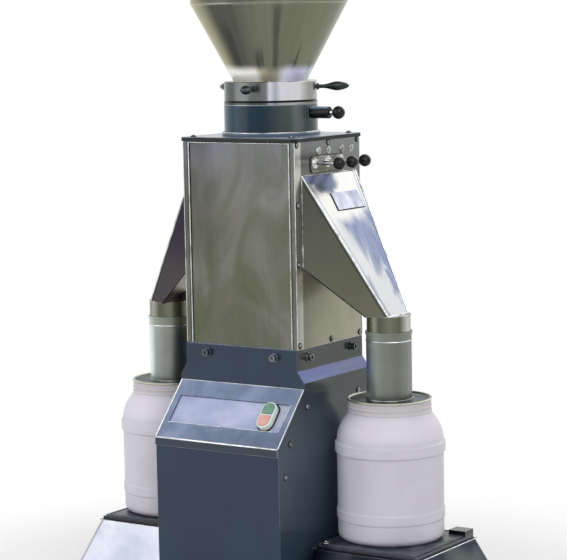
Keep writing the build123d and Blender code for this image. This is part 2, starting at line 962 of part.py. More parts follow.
def rotor():
    """The turning grinding cone with slanted teeth and a cap nut."""
    low = toothed_face(rotor_teeth, rotor_radius, rotor_radius - tooth_depth, 0)
    tip = rotor_top_radius + tooth_depth
    high = toothed_face(rotor_teeth, tip, rotor_top_radius, 3 * tooth_twist / 2)
    z1 = rotor_z + rotor_height
    cone = loft([Pos(0, 0, rotor_z) * low, Pos(0, 0, z1) * high], ruled=True)
    cone -= rod(shaft_radius + bearing_gap, rotor_z - join, z1 + join)
    low, top = rotor_nut_height - join, rotor_nut_height + rotor_cap
    crown = rotor_nut_flats / 2 - rotor_nut_edge
    nut = hexagon(rotor_nut_flats, rotor_nut_height)
    nut += turned((0, low), (crown, low), (crown / 2, top), (0, top))
    return cone + Pos(0, 0, z1) * nut


def adjusting_ring():
    """The steel ring with its skirt inside the casing and a groove for the plunger tip."""
    skirt_in = skirt_radius - skirt_wall
    seat = collar_top + slide_gap
    land = ring_radius - groove_depth
    groove = skirt_radius - index_groove_depth
    ledge = ring_top - spigot_depth - spigot_gap
    ring = turned(
        (skirt_in, skirt_bottom), (skirt_radius, skirt_bottom),
        (skirt_radius, plunger_z - index_groove_half), (groove, plunger_z - index_groove_half),
        (groove, plunger_z + index_groove_half), (skirt_radius, plunger_z + index_groove_half),
        (skirt_radius, seat), (land, seat), (land, ring_z), (ring_radius, ring_z),
        (ring_radius, ring_top - ring_bevel), (ring_radius - ring_bevel, ring_top),
        (throat_radius, ring_top), (throat_radius, ledge), (ring_bore, ledge),
        (ring_bore, ring_z), (skirt_in, ring_z - (skirt_in - ring_bore)),
    )
    start, end = ring_radius - handle_seat - spigot_gap, ring_radius + join
    for angle in handle_angles():
        hole = to_right * rod(handle_neck_radius + bearing_gap, start, end)
        ring -= Rot(0, 0, angle) * (Pos(0, 0, ring_z + handle_height) * hole)
    return ring


def handle_angles():
    """Directions of the handles about the mill axis."""
    return [handle_first_angle + place * 360 / handle_count for place in range(handle_count)]


def handles():
    """Fish-belly handles that stand out of the adjusting ring."""
    neck, stem, end = handle_neck_radius, handle_stem, handle_length - handle_crown
    collar, collar_end = handle_collar_radius, handle_collar_length
    low = seat_gap + bearing_gap
    bulge = Spline(
        (neck, stem), (handle_bulb_radius, (stem + end) / 2), (neck, end),
        tangents=(handle_root_lean, handle_tip_lean),
    )
    outline = make_face([
        Polyline(
            (0, -handle_seat), (neck, -handle_seat), (neck, low), (collar, low),
            (collar, collar_end), (neck, collar_end + join), (neck, stem),
        ),
        bulge,
        Polyline((neck, end), (0, handle_length), (0, -handle_seat)),
    ])
    handle = to_right * revolve(Plane.XZ * outline, Axis.Z)
    level = ring_z + handle_height
    return [Rot(0, 0, angle) * (Pos(ring_radius, 0, level) * handle) for angle in handle_angles()]


def plunger_sleeve():
    """The guide barrel of the index plunger, on the casing's boss."""
    start = mill_radius + boss_rise
    bore = plunger_pin_radius + slide_gap
    sleeve = tube(plunger_sleeve_radius, bore, start, plunger_sleeve_end)
    sleeve = chamfer(sleeve.edges().group_by(Axis.Z)[-1], ring_bevel)
    return Pos(0, 0, plunger_z) * (to_right * sleeve)


def index_plunger():
    """The spring-loaded pin whose tip lies in the ring's groove."""
    tip = skirt_radius - index_groove_depth + plunger_tip_gap
    pin = rod(plunger_pin_radius, tip, plunger_ball_reach - ball_flat)
    return Pos(0, 0, plunger_z) * (to_right * pin)


def plunger_knob():
    """The ball knob of the index plunger."""
    knob = ball_knob(plunger_ball_radius, plunger_pin_radius + bearing_gap)
    reach = plunger_ball_reach - plunger_ball_radius
    return Pos(reach, 0, plunger_z) * (to_right * knob)


def hopper():
    """The round feed hopper, which lifts out of the adjusting ring."""
    spigot = throat_radius - slide_gap
    sheet = hopper_sheet
    rim_z = ring_top + hopper_cone_height
    top = rim_z + hopper_band_height
    band = hopper_rim_radius + hopper_band_step
    shell = turned(
        (spigot - sheet, ring_top - spigot_depth), (spigot, ring_top - spigot_depth),
        (spigot, ring_top), (hopper_foot_radius, ring_top),
        (hopper_foot_radius, ring_top + hopper_bead),
        (hopper_rim_radius, rim_z - hopper_bead), (band, rim_z), (band, top), (band - sheet, top),
        (band - sheet, rim_z + hopper_bead), (hopper_rim_radius - sheet, rim_z),
        (spigot - sheet, ring_top + 2 * hopper_sheet),
    )
    return shell + Pos(0, 0, top) * Torus(band + hopper_bead, hopper_roll)


# Drive


def motor():
    """A flange motor that hangs under the bridge, with fins, fan cover and terminal box."""
    top = bridge_top - bridge_thickness
    flange_z = top - motor_flange_thickness
    foot = flange_z - motor_length
    body = rod(motor_radius, foot, flange_z) + rod(motor_flange_radius, flange_z, top)
    tip, half = motor_radius + motor_fin_height, motor_fin_thickness / 2
    low, high = foot + motor_fin_ends, flange_z - motor_fin_ends / 2
    rib = block(motor_radius - half, tip, -half, half, low, high)
    for fin in range(motor_fins):
        body += Rot(0, 0, fin * 360 / motor_fins) * rib
    cover, end = tip + half, foot - fan_cover_height
    lap = foot + fan_cover_lap
    body += turned(
        (0, end), (cover - fan_cover_bevel, end), (cover, end + fan_cover_bevel),
        (cover, lap), (0, lap),
    )
    wide, box_top = terminal_box_half, flange_z - terminal_box_drop
    near, out = motor_radius - motor_fin_height, motor_radius + terminal_box_rise
    body += block(-wide, wide, near, out, box_top - terminal_box_height, box_top)
    pocket_z = flange_z - motor_shaft_depth - motor_bore_gap
    return body - rod(motor_shaft_radius + motor_bore_gap, pocket_z, top + join)


def motor_bridge():
    """The plate over the motor with four posts down to the base plate."""
    x, y = bridge_half_width, bridge_half_depth
    under = bridge_top - bridge_thickness
    plate = block(-x, x, -y, y, under, bridge_top)
    plate -= rod(motor_shaft_radius + 2 * motor_bore_gap, under - join, bridge_top + join)
    inset = bridge_post_radius + bridge_post_edge
    for px in (-x + inset, x - inset):
        for py in (-y + inset, y - inset):
            plate += Pos(px, py, 0) * rod(bridge_post_radius, base_top, under + join)
    return plate


def claw(z0):
    """One coupling claw, a block of a ring."""
    inner = max(shaft_radius, motor_shaft_radius) + claw_gap
    middle = Pos((inner + coupling_radius) / 2, z0 + claw_height / 2)
    face = Plane.XZ * (middle * Rectangle(coupling_radius - inner, claw_height))
    return Rot(0, 0, -claw_arc / 2) * revolve(face, Axis.Z, revolution_arc=claw_arc)


def coupling_half(bore, z0, claws_up, turn):
    """One half of the claw coupling between motor and shaft."""
    hub = tube(coupling_radius, bore, z0, z0 + coupling_hub)
    claw_z = z0 + coupling_hub - claw_gap if claws_up else z0 - claw_height + claw_gap
    for place in range(claw_count):
        hub += Rot(0, 0, turn + place * 360 / claw_count) * claw(claw_z)
    return hub


def coupling_lower():
    """The coupling half on the motor shaft."""
    return coupling_half(motor_shaft_radius + bearing_gap, coupling_z, True, 0)


def coupling_upper():
    """The coupling half on the mill shaft."""
    bore = shaft_radius + bearing_gap
    return coupling_half(bore, upper_coupling_z, False, 180 / claw_count)


def motor_shaft():
    """The motor's output shaft."""
    low = bridge_top - bridge_thickness - motor_flange_thickness - motor_shaft_depth
    return rod(motor_shaft_radius, low, coupling_z + coupling_hub)


def drive_shaft():
    """The long shaft from the coupling up through the tower to the grinding cone."""
    return rod(shaft_radius, upper_coupling_z, rotor_z + rotor_height)


def bearing_lower():
    """The flange bearing in the top of the neck."""
    bore = shaft_radius + bearing_gap
    hub = tube(bearing_hub_radius, bore, bearing_foot, neck_top + join)
    return hub + tube(bearing_flange_radius, bore, neck_top, neck_top + bearing_flange)


def bearing_upper():
    """The upper bearing on arms inside the deck's opening."""
    bore = shaft_radius + bearing_gap
    hub = tube(upper_hub_radius, bore, flange_top - upper_hub_length, flange_top)
    rim = deck_hole_radius - seat_gap
    low, high, half = tower_top, tower_top + arm_height, arm_width / 2
    carrier = tube(rim, rim - bearing_rim, low, high)
    for place in range(arm_count):
        arm = block(upper_hub_radius - join, rim - join, -half, half, low, high)
        carrier += Rot(0, 0, (place + 0.5) * 360 / arm_count) * arm
    return hub + carrier


def cable_gland():
    """A gland for the mains cable, low in the back wall."""
    cap, end = gland_radius - gland_cap_edge, gland_length - gland_thread_radius
    gland = tube(gland_thread_radius, gland_bore, -gland_thread_radius, join)
    gland += hexagon(2 * cap, gland_nut) - rod(gland_bore, -join, gland_nut + join)
    gland += turned(
        (gland_bore, gland_nut - join), (cap, gland_nut - join), (cap, end - gland_lip),
        (gland_bore + gland_wall, end), (gland_bore, end),
    )
    return Pos(gland_x, housing_back, base_top + gland_above_base) * (to_back * gland)


nodes = {
    "base_plate": base_plate(),
    "rubber_feet": feet(),
    "plinth_right": plinth(plinth_reach_right),
    "plinth_left": mirrored(plinth(plinth_reach_left)),
    "tray_right": tray(plinth_reach_right) + tray_stop(0),
    "tray_left": mirrored(tray(plinth_reach_left)),
    "mat_right": mat(plinth_reach_right) - tray_stop(seat_gap),
    "mat_left": mirrored(mat(plinth_reach_left)),
    "tray_screws": tray_screws(),
    "drum_right": drum_at(1),
    "drum_left": drum_at(-1),
    "drum_lid_right": drum_lid(1),
    "drum_lid_left": drum_lid(-1),
    "chute_right": chute(),
    "chute_left": mirrored(chute()),
    "name_plate": name_plate(),
    "housing_body": housing_body(),
    "housing_top": housing_top(),
    "front_panel": front_panel(),
    "console_panel": console_panel(),
    "console_plate": console_plate(),
    "switch_housing": switch_housing(),
    "start_button": button(1),
    "stop_button": button(-1),
    "tower_right": tower_right(),
    "tower_left": mirrored(tower_side()),
    "tower_front": tower_front(),
    "tower_back": mirror(tower_front(), about=Plane.XZ),
    "gate_bushes": gate_bushes(),
    "divider_roof": divider(),
    "cover_screws": cover_screws(),
    "neck_bolts": neck_bolts(),
    "deck_plate": deck_plate(),
    "mill_flange": mill_flange(),
    "mill_body": mill_body(),
    "stator_flange": stator_flange(),
    "stator_cone": stator(),
    "rotor_cone": rotor(),
    "adjusting_ring": adjusting_ring(),
    "ring_handles": handles(),
    "plunger_sleeve": plunger_sleeve(),
    "index_plunger": index_plunger(),
    "plunger_knob": plunger_knob(),
    "hopper": hopper(),
    "motor": motor(),
    "motor_bridge": motor_bridge(),
    "motor_shaft": motor_shaft(),
    "coupling_lower": coupling_lower(),
    "coupling_upper": coupling_upper(),
    "drive_shaft": drive_shaft(),
    "bearing_lower": bearing_lower(),
    "bearing_upper": bearing_upper(),
    "cable_gland": cable_gland(),
}
for number, depth in enumerate(gate_rows(), start=1):
    nodes[f"gate_rod_{number}"] = gate_rod(depth)
    nodes[f"gate_knob_{number}"] = gate_knob(depth)

# The origin: on the floor, under the middle of the machine's outline
to_origin = Pos(
    -(base_left + base_right) / 2,
    -(machine_front + machine_back) / 2,
    0,
)
for name, shape in nodes.items():
    pieces = shape if isinstance(shape, list) else [shape]
    export_step(Compound([to_origin * piece for piece in pieces]), f"parts/{name}.step")
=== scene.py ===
import json
import math

import bmesh
import bpy
from mathutils import Matrix, Vector


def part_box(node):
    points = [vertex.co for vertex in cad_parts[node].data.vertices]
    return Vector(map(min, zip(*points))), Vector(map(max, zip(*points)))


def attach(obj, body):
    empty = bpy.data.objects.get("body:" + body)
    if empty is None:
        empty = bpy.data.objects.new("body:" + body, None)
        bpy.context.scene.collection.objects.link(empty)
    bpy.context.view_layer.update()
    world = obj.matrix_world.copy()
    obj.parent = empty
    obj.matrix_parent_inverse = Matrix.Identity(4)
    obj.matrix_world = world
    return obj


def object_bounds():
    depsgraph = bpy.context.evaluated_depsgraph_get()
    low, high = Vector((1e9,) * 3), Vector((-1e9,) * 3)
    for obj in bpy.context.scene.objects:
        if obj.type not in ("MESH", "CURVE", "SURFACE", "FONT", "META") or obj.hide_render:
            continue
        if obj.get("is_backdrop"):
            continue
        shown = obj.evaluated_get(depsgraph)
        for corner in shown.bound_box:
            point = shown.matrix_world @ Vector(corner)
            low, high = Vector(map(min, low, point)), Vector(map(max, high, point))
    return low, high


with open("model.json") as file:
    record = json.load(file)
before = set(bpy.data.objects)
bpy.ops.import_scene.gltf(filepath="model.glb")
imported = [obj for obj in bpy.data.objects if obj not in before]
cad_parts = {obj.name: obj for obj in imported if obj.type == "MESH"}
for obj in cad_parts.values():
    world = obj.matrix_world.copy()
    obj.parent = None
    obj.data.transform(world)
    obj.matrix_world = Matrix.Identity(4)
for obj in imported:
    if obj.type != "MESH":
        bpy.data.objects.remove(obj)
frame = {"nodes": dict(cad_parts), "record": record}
cad_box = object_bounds()
nodes = frame["nodes"]

# Places of the machine's axes in the row frame, in metres
SIDES = (("right", 1), ("left", -1))
MILL_X, MILL_Y = -0.0160, 0.02759
MILL = (MILL_X, MILL_Y)
DRUM_REACH = 0.2474
DRUM_Y = MILL_Y + 0.0032
DRUM_X = {side: MILL_X + sign * DRUM_REACH for side, sign in SIDES}

# Levels and half widths of the machine, in metres
STAND_Z, DRUM_TOP = 0.150, 0.406
LID_TOP, SLEEVE_BAND, SPOUT_TOP = 0.4078, 0.5163, 0.5623
NECK_TOP, TOWER_TOP, DECK_TOP = 0.5026, 0.8798, 0.8875
MILL_TOP, COLLAR_TOP, RING_TOP = 0.9444, 0.9505, 0.9877
HOPPER_CONE = 0.1425
TOWER_X, TOWER_Y, HOUSING_HALF = 0.1234, 0.1112, 0.136

# Chutes: half width and levels at the root, fall of the roof and of the floor, narrowing
CHUTE_HALF, CHUTE_TOP, CHUTE_FOOT = 0.0915, 0.8180, 0.6500
STEEP, SHALLOW, NARROWING = 1.7634, 0.8274, 0.389
SPOUT_RADIUS = 0.0403

mats = {}  # Each material's graph by its name


def rgb(red, green, blue):
    """A linear colour from the 0 to 255 values of a screen."""
    linear = []
    for value in (red, green, blue):
        share = value / 255
        low = share <= 0.04045
        linear.append(share / 12.92 if low else ((share + 0.055) / 1.055) ** 2.4)
    return (*linear, 1)


class Graph:
    """A material, kept in mats by its name, with short calls for building its nodes."""

    def __init__(self, name):
        mats[name] = self
        self.material = bpy.data.materials.new(name)
        self.material.use_nodes = True
        self.tree = self.material.node_tree
        self.shader = self.tree.nodes["Principled BSDF"]
        coordinates = self.node("ShaderNodeTexCoord")
        self.place = coordinates.outputs["Object"]
        self.normal = coordinates.outputs["Normal"]

    def node(self, kind, inputs=None, **settings):
        """A new node; its inputs are given by name or number, as values or as sockets."""
        made = self.tree.nodes.new(kind)
        for key, value in settings.items():
            setattr(made, key, value)
        for key, value in (inputs or {}).items():
            self.put(made.inputs[key], value)
        return made

    def put(self, socket, value):
        if isinstance(value, bpy.types.NodeSocket):
            self.tree.links.new(value, socket)
        else:
            socket.default_value = value

    def set(self, **values):
        """Sets inputs of the shader, such as base_color or roughness."""
        for key, value in values.items():
            wanted = key.replace("_", " ").lower()
            socket = next(s for s in self.shader.inputs if s.name.lower() == wanted)
            self.put(socket, value)

    def moved(self, scale=(1, 1, 1), shift=(0, 0, 0), place=None):
        """The place, or another vector, scaled and then shifted."""
        inputs = {"Scale": scale, "Location": shift, "Vector": place or self.place}
        return self.node("ShaderNodeMapping", inputs).outputs["Vector"]

    def noise(self, scale, detail=3.0, stretch=(1, 1, 1), shift=(0, 0, 0), place=None, twist=0.0):
        inputs = {"Scale": scale, "Detail": detail, "Distortion": twist,
                  "Vector": self.moved(stretch, shift, place)}
        return self.node("ShaderNodeTexNoise", inputs).outputs["Fac"]

    def math(self, operation, first, second=0.0):
        inputs = {0: first, 1: second}
        return self.node("ShaderNodeMath", inputs, operation=operation).outputs[0]

    def plus(self, first, second):
        return self.math("ADD", first, second)

    def minus(self, first, second):
        return self.math("SUBTRACT", first, second)

    def times(self, first, second):
        return self.math("MULTIPLY", first, second)

    def over(self, first, second):
        return self.math("DIVIDE", first, second)

    def larger(self, first, second):
        return self.math("MAXIMUM", first, second)

    def absolute(self, value):
        return self.math("ABSOLUTE", value)

    def vector(self, operation, *parts):
        return self.node("ShaderNodeVectorMath", dict(enumerate(parts)), operation=operation)

    def length(self, vector):
        return self.vector("LENGTH", vector).outputs["Value"]

    def scaled(self, value, low, high, start=0.0, end=1.0, **settings):
        """A value from start to end as the input goes from low to high."""
        inputs = dict(enumerate((value, low, high, start, end)))
        return self.node("ShaderNodeMapRange", inputs, **settings).outputs[0]

    def between(self, value, low, high):
        """A value from 0 to 1, eased at both ends, as the input goes from low to high."""
        return self.scaled(value, low, high, interpolation_type="SMOOTHSTEP")

    def spread(self, value, start, end):
        """A value from start to end as the input goes from 0 to 1."""
        return self.scaled(value, 0.0, 1.0, start, end)

    def band(self, value, centre, width, soft=None):
        """1 where a value is within a width of a centre, with soft edges."""
        away = self.absolute(self.minus(value, centre))
        return self.between(away, width, width * 0.3 if soft is None else width - soft)

    def axis(self, letter, place=None):
        """One coordinate of the place or of another vector."""
        made = self.node("ShaderNodeSeparateXYZ", {0: place or self.place})
        return made.outputs["XYZ".index(letter)]

    def facing(self, letter, low, high):
        """A value from 0 to 1 as faces turn, their normal going from low to high on an axis."""
        return self.between(self.axis(letter, self.normal), low, high)

    def around(self, x, y):
        """The direction from an upright axis, for marks that run along a turned part."""
        return self.vector("NORMALIZE", self.moved((1, 1, 0), (-x, -y, 0))).outputs[0]

    def azimuth(self, x, y):
        """The direction round an upright axis as 0 to 1, from -X by -Y to +X and round by +Y."""
        place = self.moved(shift=(-x, -y, 0))
        turn = self.math("ARCTAN2", self.axis("Y", place), self.axis("X", place))
        return self.plus(self.over(turn, math.tau), 0.5)

    def mix(self, share, first, second, blend="MIX"):
        inputs = {0: share, 6: first, 7: second}
        made = self.node("ShaderNodeMix", inputs, data_type="RGBA", blend_type=blend)
        return made.outputs[2]

    def ramp(self, value, *stops):
        """Colours along a value. Each stop is a place and three values of a screen."""
        made = self.node("ShaderNodeValToRGB", {0: value})
        elements = made.color_ramp.elements
        for element, (place, *colour) in zip(elements, (stops[0], stops[-1])):
            element.position, element.color = place, rgb(*colour)
        for place, *colour in stops[1:-1]:
            elements.new(place).color = rgb(*colour)
        return made.outputs[0]

    def marks(self, base, dirt, amount, scale):
        """A base colour that drifts towards a second one in soft clouds."""
        clouds = self.between(self.noise(scale, 4.0), 0.42, 0.72)
        return self.mix(self.times(clouds, amount), base, dirt)

    def shade(self, colour, share):
        """The colour times a share, as brush lines and smears darken and lighten a metal."""
        tint = self.node("ShaderNodeCombineColor", {"Red": share, "Green": share, "Blue": share})
        return self.mix(1.0, colour, tint.outputs[0], "MULTIPLY")

    def worn(self, colour, light, radius, amount=0.8):
        """Rubbed edges with a painted highlight: lighter within a radius of each corner."""
        soft = self.node("ShaderNodeBevel", {"Radius": radius}, samples=6)
        flat = self.node("ShaderNodeNewGeometry")
        near = self.vector("DOT_PRODUCT", soft.outputs[0], flat.outputs["Normal"])
        edge = self.between(near.outputs["Value"], 0.985, 0.86)
        return self.mix(self.times(edge, amount), colour, light)

    def bump(self, height, strength, distance, edge):
        """Bumps by a height, with the edges rounded within a radius."""
        soft = self.node("ShaderNodeBevel", {"Radius": edge}, samples=4)
        made = self.node("ShaderNodeBump", {"Strength": strength, "Distance": distance,
                                            "Height": height, "Normal": soft.outputs[0]})
        self.set(normal=made.outputs[0])


# Radii of the rounded edges and of the rubbed ones with painted highlight, in metres
SHEET_EDGE, TURNED_EDGE, PAINT_EDGE, MOULDED_EDGE = 0.0008, 0.0006, 0.001, 0.0006
RUBBED_AND_HIGHLIT = 0.0012


def sheet_steel(name, stops, roughness, brush, scale=5.0, level=None, wear=0.0):
    """Sheet steel: colours by level or by cloud, brush lines and small rubbed marks."""
    g = Graph(name)
    lines = g.noise(1.0, 2.0, stretch=brush)
    share = wide = g.noise(scale, 4.0, twist=0.6)
    if level:
        share = g.scaled(g.plus(g.axis("Z"), g.spread(wide, -0.03, 0.03)), *level)
    colour = g.shade(g.ramp(share, *stops), g.spread(lines, 0.94, 1.06))
    colour = g.shade(colour, g.spread(wide, 0.80, 1.20))
    if wear:
        colour = g.worn(colour, rgb(226, 228, 230), wear)
    marked = g.times(g.between(g.noise(60.0, 5.0), 0.55, 0.8), 0.05)
    rough = g.plus(g.spread(lines, roughness - 0.05, roughness + 0.07), marked)
    g.set(base_color=colour, metallic=1.0, anisotropic=0.3, roughness=rough)
    g.bump(lines, 0.10, 0.0003, SHEET_EDGE)
    return g, colour


def turned_steel(name, axis, stops, roughness, along=1.0, streak=0.1):
    """Steel turned about an upright axis: broad bands of reflection and thin streaks.

    The colour is returned for the caller to set."""
    g = Graph(name)
    lifted = g.node("ShaderNodeCombineXYZ", {"Z": g.times(g.axis("Z"), along)})
    where = g.vector("ADD", g.around(*axis), lifted.outputs[0]).outputs[0]
    wander = g.spread(g.noise(2.0, 3.0, place=where), -0.012, 0.012)
    colour = g.ramp(g.plus(g.azimuth(*axis), wander), *stops)
    thin = g.noise(22.0, 3.0, place=where)
    colour = g.shade(colour, g.spread(thin, 1 - streak, 1 + streak))
    rings = g.noise(1.0, 2.0, stretch=(3, 3, 1400))
    rough = g.spread(rings, roughness - 0.04, roughness + 0.06)
    g.set(metallic=1.0, anisotropic=0.4, roughness=rough)
    g.bump(rings, 0.08, 0.0002, TURNED_EDGE)
    return g, colour


def paint(g, colour, roughness, coat=0.2, specular=0.35, peel=0.04, wear=None):
    """Stoved paint with a faint orange peel, soft smears and rubbed edges with painted highlight.
    """
    smear = g.noise(1.0, 3.0, stretch=(30, 30, 6))
    colour = g.shade(colour, g.spread(smear, 0.9, 1.1))
    if wear:
        colour = g.worn(colour, *wear)
    g.set(base_color=colour, roughness=g.spread(smear, roughness - 0.05, roughness + 0.08),
          coat_weight=coat, coat_roughness=0.12, specular_ior_level=specular)
    g.bump(g.noise(520.0, 1.0), peel, 0.0004, PAINT_EDGE)


def moulded(name, base, other, roughness, grain=900.0, strength=0.05, wear=None):
    """Moulded plastic or rubber with a fine grain and slight handling marks."""
    g = Graph(name)
    colour = g.marks(rgb(*base), rgb(*other), 0.8, 26.0)
    if wear:
        colour = g.worn(colour, *wear, 0.6)
    rough = g.spread(g.noise(40.0, 3.0), roughness - 0.06, roughness + 0.08)
    g.set(base_color=colour, roughness=rough)
    g.bump(g.noise(grain, 2.0), strength, 0.0003, MOULDED_EDGE)


# Materials of the record's slots, some of them one for each side, and of the own pieces
UP_DOWN = (260, 260, 2.0)  # Stretch of brush lines that run up and down
LEVEL = (NECK_TOP, TOWER_TOP)
PAINT_MARKS = (0.75, 7.0)  # Amount and scale of the clouds on plain paints

# Tower: cooler at the top and olive below; its sides painted lighter as lit faces, with a pale
# strip of painted highlight
g, front = sheet_steel("brushed_steel", (
    (0.0, 107, 108, 101), (0.3, 103, 105, 95), (0.62, 100, 101, 95), (0.85, 97, 98, 98),
    (1.0, 95, 97, 102)), 0.26, UP_DOWN, 4.0, level=LEVEL)
# Front and back: olive and grey clouds, with painted shade at the upper left
broad = g.noise(1.0, 3.0, stretch=(9, 9, 4.5), twist=1.6)
tinted = g.ramp(broad, (0.3, 196, 206, 176), (0.5, 226, 224, 216), (0.66, 255, 252, 255))
front = g.mix(1.0, front, tinted, "MULTIPLY")
front = g.shade(front, 1.24)
upper_left_shade = g.times(g.between(g.axis("X"), -0.03, -0.10), g.between(g.axis("Z"), 0.50, 0.80))
front = g.shade(front, g.spread(upper_left_shade, 0.97, 0.66))
# Left and right: colours by height, lighter towards the back as painted light, and the pale strip
# of painted highlight by the corner
rise = g.scaled(g.axis("Z"), *LEVEL)
side = g.ramp(rise, (0.0, 146, 145, 128), (0.3, 134, 134, 116), (0.55, 116, 117, 106),
              (0.8, 104, 105, 100), (1.0, 122, 124, 123))
side = g.shade(side, g.spread(g.between(g.axis("Y"), -0.09, 0.14), 0.9, 1.16))
side = g.shade(side, g.spread(g.noise(9.0, 4.0, twist=0.8), 0.82, 1.18))
corner_highlight = g.between(g.axis("Y"), -0.060, -0.066)
side = g.mix(g.times(corner_highlight, 0.8), side, rgb(208, 208, 198))
facing = g.between(g.absolute(g.axis("X", g.normal)), 0.6, 0.8)
g.set(base_color=g.worn(g.mix(facing, front, side), rgb(214, 216, 214), RUBBED_AND_HIGHLIT))

# Chutes: painted reflections of a clouded sky on the slanted faces, dark walls, a banded spout
for side_name, sign in SIDES:
    g, walls = sheet_steel("chute_steel_" + side_name, (
        (0.0, 104, 104, 90), (0.3, 96, 98, 84), (0.6, 90, 91, 81), (1.0, 78, 80, 74)),
        0.24, UP_DOWN, level=(SPOUT_TOP, CHUTE_TOP))
    # Walls: the left ones darker and violet towards the top, and a painted shadow line below the
    # fold of the roof
    if sign < 0:
        dusk = g.mix(g.between(g.axis("Z"), 0.61, 0.71), rgb(62, 56, 60), rgb(30, 20, 48))
        walls = g.mix(0.92, walls, dusk)
    reach = g.absolute(g.minus(g.axis("X"), MILL_X))
    half = g.minus(CHUTE_HALF + NARROWING * TOWER_X, g.times(reach, NARROWING))
    below = g.minus(CHUTE_TOP + STEEP * TOWER_X, g.times(reach, STEEP))
    fold = g.band(g.minus(below, g.axis("Z")), 0.0080, 0.0040, 0.0020)
    walls = g.mix(g.times(fold, 0.6), walls, rgb(50, 52, 50))
    # Slanted faces, painted reflection: cream with a lavender cloud that narrows as it comes down
    aside = g.minus(g.axis("Y"), DRUM_Y)
    streaked = g.spread(g.noise(1.0, 5.0, stretch=(18, 36, 16), twist=1.1), -0.5, 0.5)
    share = g.over(aside, half)
    across = g.plus(share, streaked)
    down = g.plus(g.axis("Z"), g.times(streaked, 0.03))
    starts = g.scaled(down, 0.71, 0.63, -0.42, 0.15, clamp=False)
    ends = g.scaled(down, 0.70, 0.63, 1.5, 0.1, clamp=False)
    cloud = g.times(g.between(g.minus(across, starts), -0.3, 0.3),
                    g.between(g.minus(across, ends), 0.3, -0.3))
    cloud = g.times(cloud, g.between(down, 0.748, 0.722))
    far_edge = g.times(g.between(across, 0.42, 0.72), g.between(down, 0.592, 0.606))
    veil = g.larger(cloud, g.times(far_edge, g.between(down, 0.760, 0.735)))
    grain = g.noise(22.0, 3.0)
    lower = g.mix(grain, rgb(156, 159, 162), rgb(166, 167, 166))
    upper = g.mix(grain, rgb(172, 174, 173), rgb(182, 181, 175))
    cream = g.mix(g.between(down, 0.70, 0.75), lower, upper)
    near_edge = g.times(g.between(across, -0.5, -0.9), g.between(down, 0.67, 0.62))
    cream = g.mix(g.times(near_edge, 0.9), cream, rgb(112, 118, 128))
    lavender = g.ramp(g.noise(1.0, 4.0, stretch=(18, 60, 16), shift=(3, 1, 2)), (0.3, 84, 95, 118),
                      (0.5, 103, 111, 134), (0.72, 124, 132, 148))
    painted_sky_reflection = g.mix(veil, cream, lavender)
    # A dark patch of painted reflection high on the roof, and a line of painted shade along each of
    # its side edges
    ragged = g.spread(g.noise(28.0, 3.0), -1.0, 1.0)
    dip = g.times(g.absolute(g.plus(share, 0.35)), 0.026)
    lifted = g.minus(g.plus(g.axis("Z"), g.times(ragged, 0.022)), dip)
    near = g.between(g.plus(share, g.times(ragged, 0.2)), 0.32, 0.0)
    dark_reflection_patch = g.mix(g.noise(40.0, 3.0), rgb(40, 52, 74), rgb(92, 102, 124))
    painted_sky_reflection = g.mix(g.times(g.between(lifted, 0.779, 0.793), near), painted_sky_reflection, dark_reflection_patch)
    from_edge = g.minus(half, g.absolute(aside))
    fold = g.band(from_edge, 0.0100, 0.0018, 0.0008)
    fold = g.times(fold, g.between(g.axis("Z"), SPOUT_TOP + 0.014, SPOUT_TOP + 0.018))
    painted_sky_reflection = g.mix(g.times(fold, 0.7), painted_sky_reflection, rgb(104, 110, 138))
    # The ribbed underside, and the spout with its upright bands of painted reflection
    up = g.facing("Z", 0.15, 0.35)
    under = g.facing("Z", -0.15, -0.35)
    ribbed = g.ramp(g.noise(1.0, 3.0, stretch=(8, 40, 8)), (0.3, 96, 92, 72), (0.55, 128, 122, 98),
                    (0.7, 176, 170, 142))
    body = g.mix(up, g.mix(under, walls, ribbed), painted_sky_reflection)
    turn = g.azimuth(DRUM_X[side_name], DRUM_Y)
    spout_reflection_bands = g.ramp(turn, (0.0, 120, 120, 108), (0.12, 96, 98, 84), (0.2, 158, 158, 146),
                   (0.26, 84, 86, 74), (0.34, 112, 114, 100), (0.42, 92, 94, 80),
                   (0.5, 196, 196, 186), (0.58, 126, 126, 114), (0.8, 150, 150, 140),
                   (1.0, 120, 120, 108))
    spout = g.between(g.axis("Z"), SPOUT_TOP + 0.001, SPOUT_TOP - 0.001)
    g.set(base_color=g.worn(g.mix(spout, body, spout_reflection_bands), rgb(226, 230, 236), RUBBED_AND_HIGHLIT, 0.6))
    g.set(metallic=g.spread(under, 1.0, 0.55))

# Plinths: one steel with painted reflections, a bright floor on the left one and a dark one on the
# right
PLINTH = {"roughness": 0.3, "brush": UP_DOWN, "scale": 9.0, "wear": 0.0015}
sheet_steel("polished_steel_left", (
    (0.3, 146, 152, 166), (0.5, 166, 170, 181), (0.7, 184, 186, 193)), **PLINTH)
g, colour = sheet_steel("polished_steel_right", (
    (0.3, 34, 42, 54), (0.5, 52, 58, 68), (0.7, 84, 90, 92)), **PLINTH)
# Painted shade: the right plinth's front is darker
g.set(base_color=g.shade(colour, g.spread(g.facing("Y", -0.6, -0.9), 1.0, 0.4)))
